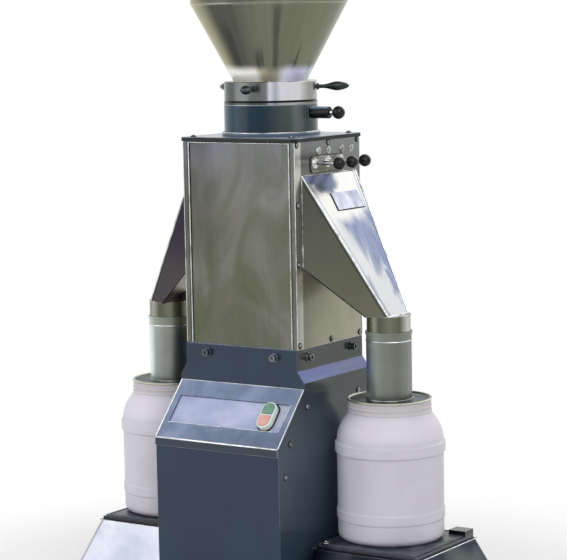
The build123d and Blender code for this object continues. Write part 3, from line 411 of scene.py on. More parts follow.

# Lids and sleeves: a dark lid with a pale rim under a cloudy grey-green sleeve banded with painted
# reflection
for side_name, sign in SIDES:
    g, colour = turned_steel("lid_steel_" + side_name, (DRUM_X[side_name], DRUM_Y), (
        (0.0, 160, 166, 166), (0.12, 202, 214, 212), (0.17, 204, 214, 210), (0.22, 132, 142, 138),
        (0.3, 122, 127, 120), (0.4, 114, 118, 110), (0.5, 138, 139, 136), (0.62, 120, 122, 118),
        (0.8, 140, 142, 140), (1.0, 160, 166, 166)), 0.36)
    colour = g.shade(colour, g.spread(g.noise(16.0, 4.0, twist=0.7), 0.78, 1.22))
    # Painted light: the left sleeve is lighter
    if sign < 0:
        colour = g.shade(colour, 1.22)
    top_band = g.between(g.axis("Z"), SLEEVE_BAND - 0.0005, SLEEVE_BAND + 0.0005)
    colour = g.mix(g.times(top_band, 0.4), colour, rgb(122, 130, 116))
    flat = g.between(g.axis("Z"), LID_TOP + 0.003, LID_TOP + 0.0015)
    away = g.length(g.moved((1, 1, 0), (-DRUM_X[side_name], -DRUM_Y, 0)))
    clouds = g.between(g.noise(18.0, 4.0), 0.4, 0.6)
    lid = g.mix(clouds, rgb(34, 54, 62), rgb(64, 78, 78))
    lid = g.mix(g.between(away, 0.0715, 0.0745), lid, rgb(186, 187, 170))
    g.set(base_color=g.mix(flat, colour, lid))

# Mill head: painted bands of bright and dark reflection round the ring and the blue casing
g, colour = turned_steel("machined_steel", MILL, (
    (0.0, 150, 150, 150), (0.1, 140, 144, 142), (0.153, 82, 88, 86), (0.22, 94, 99, 98),
    (0.3, 102, 106, 106), (0.325, 112, 114, 116), (0.34, 206, 206, 218), (0.36, 160, 162, 168),
    (0.375, 202, 202, 208), (0.45, 208, 208, 212), (0.47, 180, 180, 178), (0.5, 146, 145, 140),
    (0.55, 160, 159, 154), (0.62, 122, 124, 122), (0.74, 196, 198, 200), (0.86, 120, 124, 122),
    (1.0, 150, 150, 150)), 0.2)
# The collar is darker, with a dark joint at its top and a painted highlight line at its foot
level = g.axis("Z")
collar = g.between(level, COLLAR_TOP + 0.0030, COLLAR_TOP + 0.0024)
colour = g.mix(collar, colour, g.shade(colour, 0.56))
dark = g.times(g.between(level, COLLAR_TOP - 0.0016, COLLAR_TOP - 0.0010), collar)
colour = g.mix(dark, colour, rgb(34, 38, 38))
low = g.between(level, MILL_TOP + 0.0014, MILL_TOP + 0.0008)
g.set(base_color=g.mix(low, colour, rgb(150, 156, 158)))

g = Graph("mill_paint")
# The casing's colours round its axis are painted reflections
turn = g.plus(g.azimuth(*MILL), g.spread(g.noise(5.0, 3.0), -0.01, 0.01))
casing = g.ramp(turn, (0.0, 24, 56, 72), (0.142, 26, 68, 86), (0.2, 14, 56, 76), (0.26, 0, 36, 54),
                (0.33, 4, 38, 52), (0.37, 50, 62, 64), (0.41, 62, 74, 74), (0.43, 88, 98, 96),
                (0.455, 84, 94, 92), (0.475, 44, 58, 60), (0.55, 52, 66, 64), (0.68, 34, 54, 68),
                (0.78, 66, 82, 90), (0.88, 30, 50, 62), (1.0, 40, 60, 74))
paint(g, casing, 0.2, 0.12, 0.22, 0.02, (rgb(150, 164, 172), RUBBED_AND_HIGHLIT))

# Hopper: polished cone with long painted reflections, a gold edge and a foot of painted glare.
# Each dark streak of painted reflection has its place and width round the axis, and its lowest
# and highest level in metres
HOPPER_DARK_REFLECTIONS = (
    (0.361, 0.012, 0.99, 1.13), (0.3206, 0.006, 1.01, 1.045), (0.435, 0.006, 1.005, 1.05),
    (0.23, 0.02, 1.01, 1.09), (0.70, 0.012, 0.99, 1.12), (0.86, 0.010, 1.0, 1.06))
g, colour = turned_steel("hopper_steel", MILL, (
    (0.0, 136, 134, 108), (0.075, 150, 146, 104), (0.11, 206, 200, 150), (0.14, 160, 154, 112),
    (0.175, 142, 140, 110), (0.21, 80, 81, 72), (0.26, 86, 88, 79), (0.3, 108, 110, 96),
    (0.33, 116, 119, 102), (0.4, 112, 115, 97), (0.47, 118, 121, 101), (0.52, 112, 115, 96),
    (0.57, 134, 136, 110), (0.62, 110, 112, 94), (0.74, 88, 90, 80), (0.84, 120, 122, 104),
    (0.92, 92, 93, 82), (1.0, 136, 134, 108)), 0.24, 0.4, 0.17)
level = g.axis("Z")
at = g.plus(g.azimuth(*MILL), g.spread(g.noise(30.0, 3.0), -0.004, 0.004))
# Dark streaks of painted reflection
for centre, width, low, high in HOPPER_DARK_REFLECTIONS:
    tall = g.times(g.between(level, low - 0.01, low + 0.015),
                   g.between(level, high + 0.02, high - 0.02))
    streak = g.times(g.band(at, centre, width), g.times(tall, 0.55))
    colour = g.mix(streak, colour, rgb(44, 50, 48))
# Painted glare on the foot, where the metallic is also lowered so that it takes more light
foot = g.ramp(at, (0.0, 226, 226, 230), (0.12, 236, 232, 220), (0.2, 250, 248, 242),
              (0.29, 250, 246, 238), (0.315, 176, 168, 140), (0.345, 132, 128, 108),
              (0.37, 150, 146, 132), (0.4, 206, 206, 220), (0.46, 176, 178, 206),
              (0.54, 206, 208, 226), (0.66, 170, 166, 140), (0.8, 236, 236, 240),
              (1.0, 226, 226, 230))
bright = g.between(g.plus(level, g.spread(g.noise(14.0, 2.0), -0.006, 0.006)), 1.021, 1.003)
colour = g.mix(bright, colour, g.shade(foot, 1.04))
rim_z = RING_TOP + HOPPER_CONE
# A painted highlight along the edge of the rim
edge_highlight = g.band(level, rim_z, 0.0022, 0.001)
colour = g.mix(g.times(edge_highlight, 0.3), colour, rgb(186, 188, 176))
rolled = g.between(level, rim_z + 0.003, rim_z + 0.005)
colour = g.shade(colour, g.spread(rolled, 1.0, 0.8))
g.set(base_color=colour, metallic=g.spread(bright, 1.0, 0.2))

# Housing: slate, its sides greyer by height as painted light and shade, and streaked blue
# where it looks up as a painted sky reflection
g = Graph("housing_paint")
up = g.facing("Z", 0.3, 0.6)
across = g.between(g.absolute(g.axis("X", g.normal)), 0.6, 0.9)
slate = g.marks(rgb(24, 44, 66), rgb(32, 54, 76), 0.8, 5.0)
side = g.ramp(g.scaled(g.axis("Z"), 0.05, NECK_TOP),
              (0.0, 32, 48, 66), (0.35, 52, 66, 78), (0.6, 68, 80, 90), (0.82, 50, 60, 64),
              (0.93, 50, 56, 50), (1.0, 54, 60, 56))
streaks = g.between(g.noise(1.0, 4.0, stretch=(20, 12, 160)), 0.4, 0.62)
blue = g.mix(streaks, rgb(0, 48, 140), rgb(34, 76, 142))
colour = g.mix(up, g.mix(across, slate, side), blue)
paint(g, colour, 0.16, 0.25, 0.3, 0.03, (rgb(120, 140, 160), RUBBED_AND_HIGHLIT))

# Console: light slate as a painted sky reflection, darker to the right and the bottom, and dark
# at its nose and inside its window, all painted shade
g = Graph("console_paint")
grain = g.noise(1.0, 3.0, stretch=(60, 10, 10))
light = g.ramp(g.noise(11.0, 4.0, twist=0.8), (0.3, 92, 110, 140), (0.5, 116, 131, 160),
               (0.7, 142, 154, 182))
light = g.shade(light, g.spread(grain, 0.88, 1.12))
light = g.shade(light, g.spread(g.between(g.axis("X"), -0.15, 0.12), 1.1, 0.88))
light = g.shade(light, g.spread(g.between(g.axis("Z"), 0.37, 0.35), 1.0, 0.86))
shaded_nose = g.facing("Y", -0.85, -0.95)
light = g.mix(shaded_nose, light, rgb(34, 46, 62))
# Painted shade on the window's inner walls
right_wall = g.facing("X", 0.6, 0.9)
left_half = g.between(g.axis("X"), MILL_X + 0.02, MILL_X - 0.02)
inner_top = g.facing("Z", -0.3, -0.5)
dark = g.larger(g.times(right_wall, left_half), inner_top)
light = g.mix(dark, light, rgb(20, 28, 52))
paint(g, light, 0.3, 0.2, 0.4, 0.05, (rgb(196, 208, 226), 0.001))

g = Graph("console_plate")
lines = g.noise(1.0, 3.0, stretch=(12, 300, 300))
plate = g.ramp(g.noise(13.0, 4.0), (0.3, 150, 160, 198), (0.5, 172, 180, 212), (0.7, 196, 202, 228))
plate = g.shade(plate, g.spread(lines, 0.9, 1.1))
# Painted shade: darker towards the right
plate = g.shade(plate, g.spread(g.between(g.axis("X"), 0.02, 0.1), 1.0, 0.8))
paint(g, plate, 0.4, 0.1, 0.4)

# Deck: painted glare on its top, dark edges, and a lighter wall on the raised flange as painted
# light
g = Graph("deck_paint")
top = g.facing("Z", 0.5, 0.9)
painted_glare = g.between(g.noise(1.0, 5.0, stretch=(9, 16, 9), twist=1.4), 0.36, 0.7)
plate = g.mix(painted_glare, rgb(96, 116, 140), rgb(168, 180, 194))
raised = g.band(g.axis("Z"), DECK_TOP + 0.0075, 0.0075, 0.0004)
wall = g.mix(raised, rgb(2, 12, 18), rgb(80, 98, 114))
paint(g, g.mix(top, wall, plate), 0.2, 0.06, 0.22, 0.02, (rgb(52, 62, 68), 0.0006))

# Plain paints, and the trays with a dark border and a front darkened as painted shade
g = Graph("dark_paint")
paint(g, g.marks(rgb(40, 44, 48), rgb(56, 60, 62), *PAINT_MARKS), 0.45, 0.0)
g = Graph("motor_paint")
paint(g, g.marks(rgb(78, 94, 104), rgb(60, 74, 84), *PAINT_MARKS), 0.4, 0.0)
g = Graph("tray_paint")
tray = g.marks(rgb(40, 50, 58), rgb(76, 86, 92), *PAINT_MARKS)
tray = g.mix(g.between(g.axis("Z"), STAND_Z + 0.0002, STAND_Z + 0.0010), tray, rgb(26, 30, 26))
# Painted shade on the trays' fronts
tray = g.mix(g.facing("Y", -0.6, -0.9), tray, rgb(8, 12, 26))
paint(g, tray, 0.2, 0.2, 0.4, 0.03, (rgb(110, 120, 130), 0.001))

# Drums: milky, with painted shade on the neck and a painted highlight on the shoulder. The left
# one is painted lighter, and the right one has painted light on the side that looks to the
# machine and the front
PAINTED_LIGHT_X, PAINTED_LIGHT_Y = 0.832, 0.555  # Direction of that side from the drum's axis, reversed
g = Graph("drum_plastic")
colour = g.marks(rgb(196, 193, 202), rgb(188, 184, 194), 0.8, 12.0)
level = g.axis("Z")
neck_shade = g.between(level, DRUM_TOP - 0.035, DRUM_TOP - 0.005)
colour = g.mix(g.times(neck_shade, 0.7), colour, rgb(176, 171, 172))
fine = g.noise(1.0, 2.0, stretch=(300, 300, 8))
colour = g.shade(colour, g.spread(fine, 0.965, 1.03))
shoulder_highlight = g.band(level, DRUM_TOP - 0.045, 0.03, 0.02)
colour = g.mix(shoulder_highlight, colour, rgb(205, 200, 213))
# Painted light: the left drum lighter, and the right one paler on its side to the machine
colour = g.shade(colour, g.spread(g.between(g.axis("X"), 0.0, -0.1), 1.0, 1.13))
painted_light_side = g.plus(g.times(g.minus(DRUM_X["right"], g.axis("X")), PAINTED_LIGHT_X),
               g.times(g.minus(DRUM_Y, g.axis("Y")), PAINTED_LIGHT_Y))
painted_light_side = g.between(painted_light_side, 0.055, 0.098)
painted_light_side = g.times(painted_light_side, g.between(g.axis("X"), 0.0, 0.05))
colour = g.mix(painted_light_side, colour, rgb(224, 221, 236))
colour = g.worn(colour, rgb(226, 222, 230), 0.0016, 0.5)
g.set(base_color=colour, roughness=g.spread(g.noise(40.0, 3.0), 0.36, 0.5), specular_ior_level=0.4)
g.set(subsurface_weight=0.05, subsurface_scale=0.01)
g.bump(g.noise(300.0, 2.0), 0.05, 0.0003, PAINT_EDGE)

# Moulded and cast parts: two colours, roughness, and where needed the grain, its strength
# and the rubbed edges with painted highlight
MAT_EDGE_WEAR_AND_HIGHLIGHT = (rgb(150, 162, 172), 0.0014)
for row in (
        ("rubber", (24, 24, 25), (42, 42, 42), 0.7),
        ("mat_rubber", (34, 42, 48), (88, 98, 104), 0.34, 420.0, 0.25, MAT_EDGE_WEAR_AND_HIGHLIGHT),
        ("knob_plastic", (3, 4, 5), (12, 14, 14), 0.12),
        ("bezel_plastic", (206, 220, 214), (226, 230, 224), 0.3),
        ("green_plastic", (92, 138, 114), (146, 180, 162), 0.3),
        ("red_plastic", (212, 148, 138), (230, 188, 178), 0.3),
        ("cast_iron", (84, 84, 84), (64, 62, 60), 0.55, 700.0, 0.3)):
    moulded(*row)
mats["knob_plastic"].set(specular_ior_level=0.28)
mats["cast_iron"].set(metallic=1.0)

# Small metal parts: base, light and dark colour, roughness, brush lines and size of clouds
for name, base, light, dark, *finish in (
        ("plate_metal", (160, 164, 178), (182, 184, 196), (138, 144, 162), 0.34, (6, 700, 6), 30.0),
        ("bright_steel", (176, 176, 172), (210, 210, 206), (110, 110, 106), 0.22, (90, 90, 90)),
        ("screw_steel", (118, 120, 118), (176, 178, 178), (66, 68, 66), 0.2, (90, 90, 90), 60.0),
        ("bolt_steel", (92, 98, 100), (150, 156, 158), (50, 58, 62), 0.2, (90, 90, 90)),
        ("shaft_steel", (180, 180, 178), (200, 200, 200), (150, 150, 148), 0.2, (40, 40, 900)),
        ("chrome", (208, 208, 208), (226, 226, 226), (180, 180, 180), 0.1, (20, 20, 20)),
        ("handle_steel", (50, 56, 56), (84, 90, 88), (34, 38, 38), 0.3, (120, 120, 120)),
        # Pale steel of painted highlights on hems, rims and rolled edges
        ("edge_steel", (206, 208, 210), (226, 228, 230), (160, 164, 168), 0.24, (60, 60, 60), 40.0),
        ("weld_steel", (150, 152, 146), (206, 208, 206), (96, 98, 90), 0.34, (200, 200, 200), 60.0),
        # Dark of painted shade and shadow in sockets, seats, keels and along a front
        ("socket_dark", (34, 38, 42), (60, 66, 70), (16, 18, 20), 0.4, (60, 60, 60), 40.0),
        ("gate_plate_steel", (112, 114, 102), (150, 152, 142), (84, 86, 72), 0.26, UP_DOWN, 30.0)):
    sheet_steel(name, ((0.30, *dark), (0.5, *base), (0.74, *light)), *finish)

BY_SIDE = {"lid_steel", "chute_steel", "polished_steel"}
for part in frame["record"]["subparts"]:
    name, slot = part["node"], part["material_slot"]
    if slot in BY_SIDE:
        slot += "_" + name.rsplit("_", 1)[1]
    if name == "cover_screws":
        slot = "screw_steel"
    obj = nodes[name]
    if not obj.material_slots:
        obj.data.materials.append(None)
    for place in obj.material_slots:
        place.material = mats[slot].material


# Pieces of the scene's own: welds, hems, rolled edges, screw sockets and gate fittings
SAME_POINT = 1e-6
SHARP_EDGE, RIDGE_EDGE = math.radians(45), math.radians(20)
BEAD_SIDES, CIRCLE_STEPS = 8, 72
BEAD_GUIDE = (0.36, 0.48, 0.8)  # Where the first ring starts, a way that no path runs
WELD_STEP, QUICK_WAVE, SLOW_WAVE = 0.003, 1.9, 0.7
WELD = {"finish": "weld_steel", "step": WELD_STEP}
RUBBER = {"finish": "rubber", "slot": "rubber"}
SHADE_DARK = {"finish": "socket_dark", "slot": "bolt_steel"}


def placed(form, name, body, finish, slot):
    """A smooth mesh object that rides on a body, with its material. The slot is not used."""
    mesh = bpy.data.meshes.new(name)
    bmesh.ops.recalc_face_normals(form, faces=form.faces)
    form.to_mesh(mesh)
    form.free()
    mesh.materials.append(mats[finish].material)
    for face in mesh.polygons:
        face.use_smooth = True
    mesh.set_sharp_from_angle(angle=SHARP_EDGE)
    made = bpy.data.objects.new(name, mesh)
    bpy.context.scene.collection.objects.link(made)
    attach(made, body)


def turns(count):
    """The angles of equal steps round a circle."""
    return [math.tau * index / count for index in range(count)]


def skin(form, one, two):
    """Faces from ring to ring, between as many corners on each."""
    for index in range(len(one)):
        after = (index + 1) % len(one)
        form.faces.new((one[index], one[after], two[after], two[index]))


def stacked(form, rings):
    """Faces from ring to ring and a lid on the last one."""
    for one, two in zip(rings, rings[1:]):
        skin(form, one, two)
    form.faces.new(rings[-1])


def stepped(path, step):
    """The path with points added, so that none are further apart than a step."""
    points = [Vector(path[0])]
    for start, end in zip(path, path[1:]):
        start, end = Vector(start), Vector(end)
        count = max(1, math.ceil((end - start).length / step))
        points += [start.lerp(end, (index + 1) / count) for index in range(count)]
    return points


def bead(name, paths, radius, body="machine", finish="edge_steel", slot="bright_steel",
         ripple=0.0, step=0.04):
    """A rounded bead along each path, with the ripple of a weld where one is asked for."""
    form = bmesh.new()
    for path in paths:
        points = stepped(path, step)
        closed = (points[0] - points[-1]).length < SAME_POINT
        if closed:
            points.pop()
        count = len(points)
        rings = []
        guide = Vector(BEAD_GUIDE)
        for index, point in enumerate(points):
            before = points[index - 1] if index or closed else point
            after = points[(index + 1) % count] if closed or index + 1 < count else point
            along = (after - before).normalized()
            guide = (guide - along * guide.dot(along)).normalized()
            across = along.cross(guide)
            quick, slow = math.sin(index * QUICK_WAVE), math.sin(index * SLOW_WAVE)
            width = radius * (1 + ripple * quick + ripple * 0.5 * slow)
            ring = [(guide * math.cos(turn) + across * math.sin(turn)) * width
                    for turn in turns(BEAD_SIDES)]
            rings.append([form.verts.new(point + corner) for corner in ring])
        pairs = list(zip(rings, rings[1:]))
        if closed:
            pairs.append((rings[-1], rings[0]))
        else:
            form.faces.new(rings[0])
            form.faces.new(rings[-1])
        for one, two in pairs:
            skin(form, one, two)
    placed(form, name, body, finish, slot)


def circle(x, y, z, radius):
    """A closed path round an upright axis."""
    return [(x + radius * math.cos(turn), y + radius * math.sin(turn), z)
            for turn in turns(CIRCLE_STEPS) + [0]]


def joined(node):
    """A CAD node's mesh with its faces joined at their shared corners."""
    form = bmesh.new()
    form.from_mesh(nodes[node].data)
    bmesh.ops.remove_doubles(form, verts=form.verts, dist=SAME_POINT)
    return form


def ridges(node, keep):
    """Runs of points along the sharp edges of a CAD node whose two ends pass a test."""
    form = joined(node)
    form.edges.index_update()
    left = {}
    for edge in form.edges:
        if len(edge.link_faces) == 2 and edge.calc_face_angle() > RIDGE_EDGE:
            if keep([vert.co for vert in edge.verts]):
                left[edge.index] = edge
    runs = []
    while left:
        edge = left.pop(min(left))
        run = [vert.co.copy() for vert in edge.verts]
        for tip, front in ((edge.verts[0], True), (edge.verts[1], False)):
            while following := next((e for e in tip.link_edges if e.index in left), None):
                del left[following.index]
                tip = following.other_vert(tip)
                run.insert(0 if front else len(run), tip.co.copy())
        runs.append(run)
    form.free()
    return runs


# Hems and dark joints of the tower's folded panels, the hem under the deck, and the bead
# round the foot of the mill's casing; the hems, corners and bead are in painted highlight
HEM_IN, DECK_HEM_DOWN = 0.0012, 0.0017
HEM_LOW, HEM_HIGH = NECK_TOP + HEM_IN, TOWER_TOP - HEM_IN
TOWER_LEFT, TOWER_RIGHT = MILL_X - TOWER_X, MILL_X + TOWER_X
TOWER_FRONT, TOWER_BACK = MILL_Y - TOWER_Y, MILL_Y + TOWER_Y
FLANGE = 0.012
FLANGES = (TOWER_LEFT + FLANGE, TOWER_RIGHT - FLANGE)
JOINT_OUT, JOINT_IN = 0.0026, 0.0003
CASING_FOOT, CASING_RADIUS = DECK_TOP + 0.0066, 0.0899


def upright(name, points, radius, **looks):
    """Beads up the height of the tower's panels."""
    bead(name, [[(x, y, HEM_LOW), (x, y, HEM_HIGH)] for x, y in points], radius, **looks)


folds = [(x, y) for x in FLANGES for y in (TOWER_FRONT, TOWER_BACK)]
upright("tower_hems", folds, 0.0011)
joints = [(x + math.copysign(JOINT_OUT, x - MILL_X), y - math.copysign(JOINT_IN, y - MILL_Y))
          for x, y in folds]
upright("tower_joints", joints, 0.0009, **RUBBER)
corners = [(x, y) for x in (TOWER_LEFT, TOWER_RIGHT) for y in (TOWER_FRONT, TOWER_BACK)]
upright("tower_corners", corners, 0.0008)
bead("deck_hems", [[(x, y, TOWER_TOP - DECK_HEM_DOWN) for x in FLANGES]
                   for y in (TOWER_FRONT + HEM_IN, TOWER_BACK - HEM_IN)], 0.0019)
bead("casing_foot", [circle(*MILL, CASING_FOOT, CASING_RADIUS)], 0.0012, ripple=0.1,
     step=WELD_STEP)

# Chutes: ridges of painted highlight, a keel of painted shadow, and welds round root and spout;
# bands of the sleeves in painted highlight
ON_SLOPE, PAST_ROOT = 0.0007, 0.001
BAND_RADIUS, SLEEVE_WELD_RADIUS = 0.0418, 0.0420


def on_slope(ends, sign, top, fall):
    """Whether an edge lies on the face that falls from a level at the tower's wall."""
    reaches = [sign * (end.x - MILL_X) - TOWER_X for end in ends]
    return max(reaches) > PAST_ROOT and all(
        abs(top - fall * reach - end.z) < ON_SLOPE for reach, end in zip(reaches, ends))


for side_name, sign in SIDES:
    chute, lid, axis = "chute_" + side_name, "lid_" + side_name, (DRUM_X[side_name], DRUM_Y)
    roof = ridges(chute, lambda ends: on_slope(ends, sign, CHUTE_TOP, STEEP))
    keel = ridges(chute, lambda ends: on_slope(ends, sign, CHUTE_FOOT, SHALLOW)
                  and not on_slope(ends, sign, CHUTE_TOP, STEEP))
    bead("chute_ridges_" + side_name, roof, 0.0019, ripple=0.08, step=WELD_STEP)
    bead("chute_keel_" + side_name, keel, 0.0011, ripple=0.12, step=WELD_STEP, **SHADE_DARK)
    root = MILL_X + sign * TOWER_X
    near, far = DRUM_Y - CHUTE_HALF, DRUM_Y + CHUTE_HALF
    around = [(root, near, CHUTE_TOP), (root, far, CHUTE_TOP), (root, far, CHUTE_FOOT),
              (root, near, CHUTE_FOOT), (root, near, CHUTE_TOP)]
    bead("chute_root_" + side_name, [around], 0.0016, ripple=0.12, **WELD)
    bead("spout_weld_" + side_name, [circle(*axis, SPOUT_TOP, SPOUT_RADIUS)], 0.0010,
         ripple=0.12, **WELD)
    bead("sleeve_band_" + side_name, [circle(*axis, SLEEVE_BAND, BAND_RADIUS)], 0.0011, lid)
    bead("sleeve_weld_" + side_name, [circle(*axis, LID_TOP + 0.0005, SLEEVE_WELD_RADIUS)],
         0.0015, lid, ripple=0.14, **WELD)

# Rolled edges of the console and the frame of its window in painted highlight, and the dark
# seal of the pushbuttons, which is also their painted shadow
SLOPE, OUT = Vector((0, 0.6820, 0.7314)), Vector((0, -0.7314, 0.6820))
LEFT, RIGHT = Vector((MILL_X - HOUSING_HALF, 0, 0)), Vector((MILL_X + HOUSING_HALF, 0, 0))
FOOT_EDGE, HEAD_EDGE = Vector((0, -0.1764, 0.3355)), Vector((0, -0.0864, 0.4320))
FOOT_END = FOOT_EDGE + SLOPE * 0.0026
LIP, FOLD = FOOT_EDGE + Vector((0, 0.0019, 0.0008)), Vector((0, -0.1757, 0.3227))
WINDOW = ((-0.139, -0.1512, 0.3625), (0.107, -0.1512, 0.3625), (0.107, -0.1099, 0.4068))
for name, start, end, radius in (
        ("console_left_edge", LEFT + FOOT_END, LEFT + HEAD_EDGE, 0.0017),
        ("console_right_edge", RIGHT + FOOT_END, RIGHT + HEAD_EDGE, 0.0010),
        ("console_head_edge", LEFT + HEAD_EDGE, RIGHT + HEAD_EDGE, 0.0009),
        ("console_lip", LEFT + LIP, RIGHT + LIP, 0.0019),
        ("console_fold", LEFT + FOLD, RIGHT + FOLD, 0.0007)):
    bead(name, [[start, end]], radius)
bead("window_edge", [WINDOW], 0.0006)

SWITCH_HALF, SEAL_OUT, SEAL_RADIUS, SEAL_STEPS = 0.013, 0.0006, 0.0162, 48
SWITCH = Vector((0.0715, -0.12835, 0.3826)) + OUT * SEAL_OUT
seal = []
for turn in turns(SEAL_STEPS) + [0]:
    shift = SWITCH_HALF if math.sin(turn) > 0 else -SWITCH_HALF
    seal.append(SWITCH + SLOPE * (shift + SEAL_RADIUS * math.sin(turn))
                + Vector((SEAL_RADIUS * math.cos(turn), 0, 0)))
bead("switch_seal", [seal], 0.0017, step=0.01, **RUBBER)

# Sockets of painted shade, rims of painted highlight and seats of painted shadow of the button-head
# screws
SOCKET_SIDES, RIM_STEPS, SEAT_STEPS = 6, 12, 24
SOCKET_RADIUS, SOCKET_TAPER, SOCKET_DEPTH, SOCKET_RISE = 0.0017, 0.96, 0.0004, 0.00006
RIM_RADIUS, RIM_WIDTH, RIM_DEPTH = 0.0023, 0.00035, 0.0001
SEAT_OUT, SEAT_WIDTH, SEAT_RISE = 0.0005, 0.0010, 0.0002
UNITS = [Vector((1, 0, 0)), Vector((0, 1, 0)), Vector((0, 0, 1))]


def islands(node):
    """The lowest and highest corner of each separate solid in a CAD node."""
    form = joined(node)
    form.verts.index_update()
    seen = set()
    for first in form.verts:
        if first.index in seen:
            continue
        seen.add(first.index)
        waiting, points = [first], []
        while waiting:
            vert = waiting.pop()
            points.append(vert.co.copy())
            for edge in vert.link_edges:
                other = edge.other_vert(vert)
                if other.index not in seen:
                    seen.add(other.index)
                    waiting.append(other)
        yield [[pick(point[axis] for point in points) for axis in range(3)]
               for pick in (min, max)]
    form.free()


def sockets(name, node, scale=1.0):
    """A dark hexagon of painted shade, a bright rim of painted highlight and a dark seat of painted
    shadow round each screw head of a CAD node.
    """
    dark, glint_rims, shadow_seats = bmesh.new(), [], []
    for low, high in islands(node):
        sizes = [top - bottom for bottom, top in zip(low, high)]
        axis = sizes.index(min(sizes))
        flat = [other for other in range(3) if other != axis]
        face = Vector([(top + bottom) / 2 for bottom, top in zip(low, high)])
        sign = 1 if axis == 2 or face[axis] > MILL[axis] else -1
        face[axis] = high[axis] if sign > 0 else low[axis]
        out = UNITS[axis] * sign
        one, two = [UNITS[other] for other in flat]
        ways = [one * math.cos(turn) + two * math.sin(turn) for turn in turns(SOCKET_SIDES)]
        edges = [way * SOCKET_RADIUS * scale for way in ways]
        lower = [dark.verts.new(face + edge - out * SOCKET_DEPTH) for edge in edges]
        upper = [dark.verts.new(face + edge * SOCKET_TAPER + out * SOCKET_RISE) for edge in edges]
        dark.faces.new(upper)
        skin(dark, lower, upper)
        ways = [one * math.cos(turn) + two * math.sin(turn) for turn in turns(RIM_STEPS) + [0]]
        glint_rims.append([face + way * RIM_RADIUS * scale - out * RIM_DEPTH for way in ways])
        wide, tall = [sizes[other] / 2 + SEAT_OUT for other in flat]
        foot = face - out * (sizes[axis] - SEAT_RISE)
        shadow_seats.append([foot + (one * math.cos(turn) * wide + two * math.sin(turn) * tall)
                      for turn in turns(SEAT_STEPS) + [0]])
    placed(dark, name, "machine", **SHADE_DARK)
    bead(name + "_rims", glint_rims, RIM_WIDTH * scale)
    bead(name + "_seats", shadow_seats, SEAT_WIDTH, **SHADE_DARK)


sockets("cover_sockets", "cover_screws")
sockets("tray_sockets", "tray_screws", 1.5)

# The gate rods' guide plate with its dark joint, which is also the plate's painted shadow, and its
# domed fixings
GATE_Z = TOWER_TOP - 0.0398
PLATE_ROUND, PLATE_CORNER_STEPS, PLATE_JOINT_OUT = 0.007, 6, 0.0004
NEAR, FAR = -0.0310 + PLATE_ROUND, 0.0822 - PLATE_ROUND
LOW, HIGH = GATE_Z - 0.018 + PLATE_ROUND, GATE_Z + 0.0118 - PLATE_ROUND
PLATE_LAYERS = ((0.0001, 1, 1), (0.0024, 1, 1), (0.0029, 0.992, 0.97))  # Out, width, height
outline = []
for quarter, (y, z) in enumerate(((FAR, HIGH), (NEAR, HIGH), (NEAR, LOW), (FAR, LOW))):
    for index in range(PLATE_CORNER_STEPS + 1):
        turn = math.pi / 2 * (quarter + index / PLATE_CORNER_STEPS)
        outline.append((y + PLATE_ROUND * math.cos(turn), z + PLATE_ROUND * math.sin(turn)))
form = bmesh.new()
stacked(form, [[form.verts.new((TOWER_RIGHT + out, MILL_Y + (y - MILL_Y) * width,
                                GATE_Z + (z - GATE_Z) * height)) for y, z in outline]
               for out, width, height in PLATE_LAYERS])
placed(form, "gate_plate", "machine", "gate_plate_steel", "brushed_steel")
joint = [(TOWER_RIGHT + PLATE_JOINT_OUT, y, z) for y, z in outline + outline[:1]]
bead("gate_plate_joint", [joint], 0.0011, step=0.01, **RUBBER)

GATE_FIXINGS = ((-0.0027, 0.8608), (0.0312, 0.8602), (0.0770, 0.8608), (0.1097, 0.8602))
DOME_RADIUS, DOME_RISE, DOME_RINGS, DOME_STEPS = 0.0078, 0.0020, 5, 24
DOME_FOOT, DOME_EDGE = 0.0001, 0.0006
form = bmesh.new()
for y, z in GATE_FIXINGS:
    rings = []
    for ring in range(DOME_RINGS):
        lean = math.pi / 2 * ring / DOME_RINGS
        reach = DOME_RADIUS * math.cos(lean)
        rise = DOME_EDGE + DOME_RISE * math.sin(lean) if ring else DOME_FOOT
        rings.append([form.verts.new((TOWER_RIGHT + rise, y + reach * math.cos(turn),
                                      z + reach * math.sin(turn))) for turn in turns(DOME_STEPS)])
    stacked(form, rings)
placed(form, "gate_fixings", "machine", "weld_steel", "bright_steel")

# The dark bedding of the name plate as its painted shadow, the raised border of the mats, and the
# hem of the plinths in painted highlight, with painted shade along the right one's front
SHADOW_BEDDING = ((0.1279, 0.0036, 0.7832), (0.1455, 0.0036, 0.7524), (0.1455, 0.0940, 0.7524))
MAT_INSET, HEM_OUT, HEM_RISE = 0.005, 0.0050, 0.0003


def grown(low, high, out, z):
    """The corners of a box's outline, moved outwards, from near left by near right."""
    x0, x1, y0, y1 = low[0] - out, high[0] + out, low[1] - out, high[1] + out
    return [(x0, y0, z), (x1, y0, z), (x1, y1, z), (x0, y1, z)]


bead("name_plate_bedding", [SHADOW_BEDDING], 0.0010, **RUBBER)
for side_name, sign in SIDES:
    low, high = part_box("mat_" + side_name)
    border = grown(low, high, -MAT_INSET, high[2])
    bead("mat_border_" + side_name, [border + border[:1]], 0.0009, finish="mat_rubber",
         slot="mat_rubber")
    low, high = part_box("tray_" + side_name)
    near_left, near_right, far_right, far_left = grown(low, high, HEM_OUT, low[2] + HEM_RISE)
    hem = [near_left, far_left, far_right, near_right]
    if sign < 0:
        hem.append(near_left)
    bead("plinth_hem_" + side_name, [hem], 0.0007)
    if sign > 0:
        bead("plinth_front_hem_" + side_name, [[near_left, near_right]], 0.0007,
             finish="socket_dark")


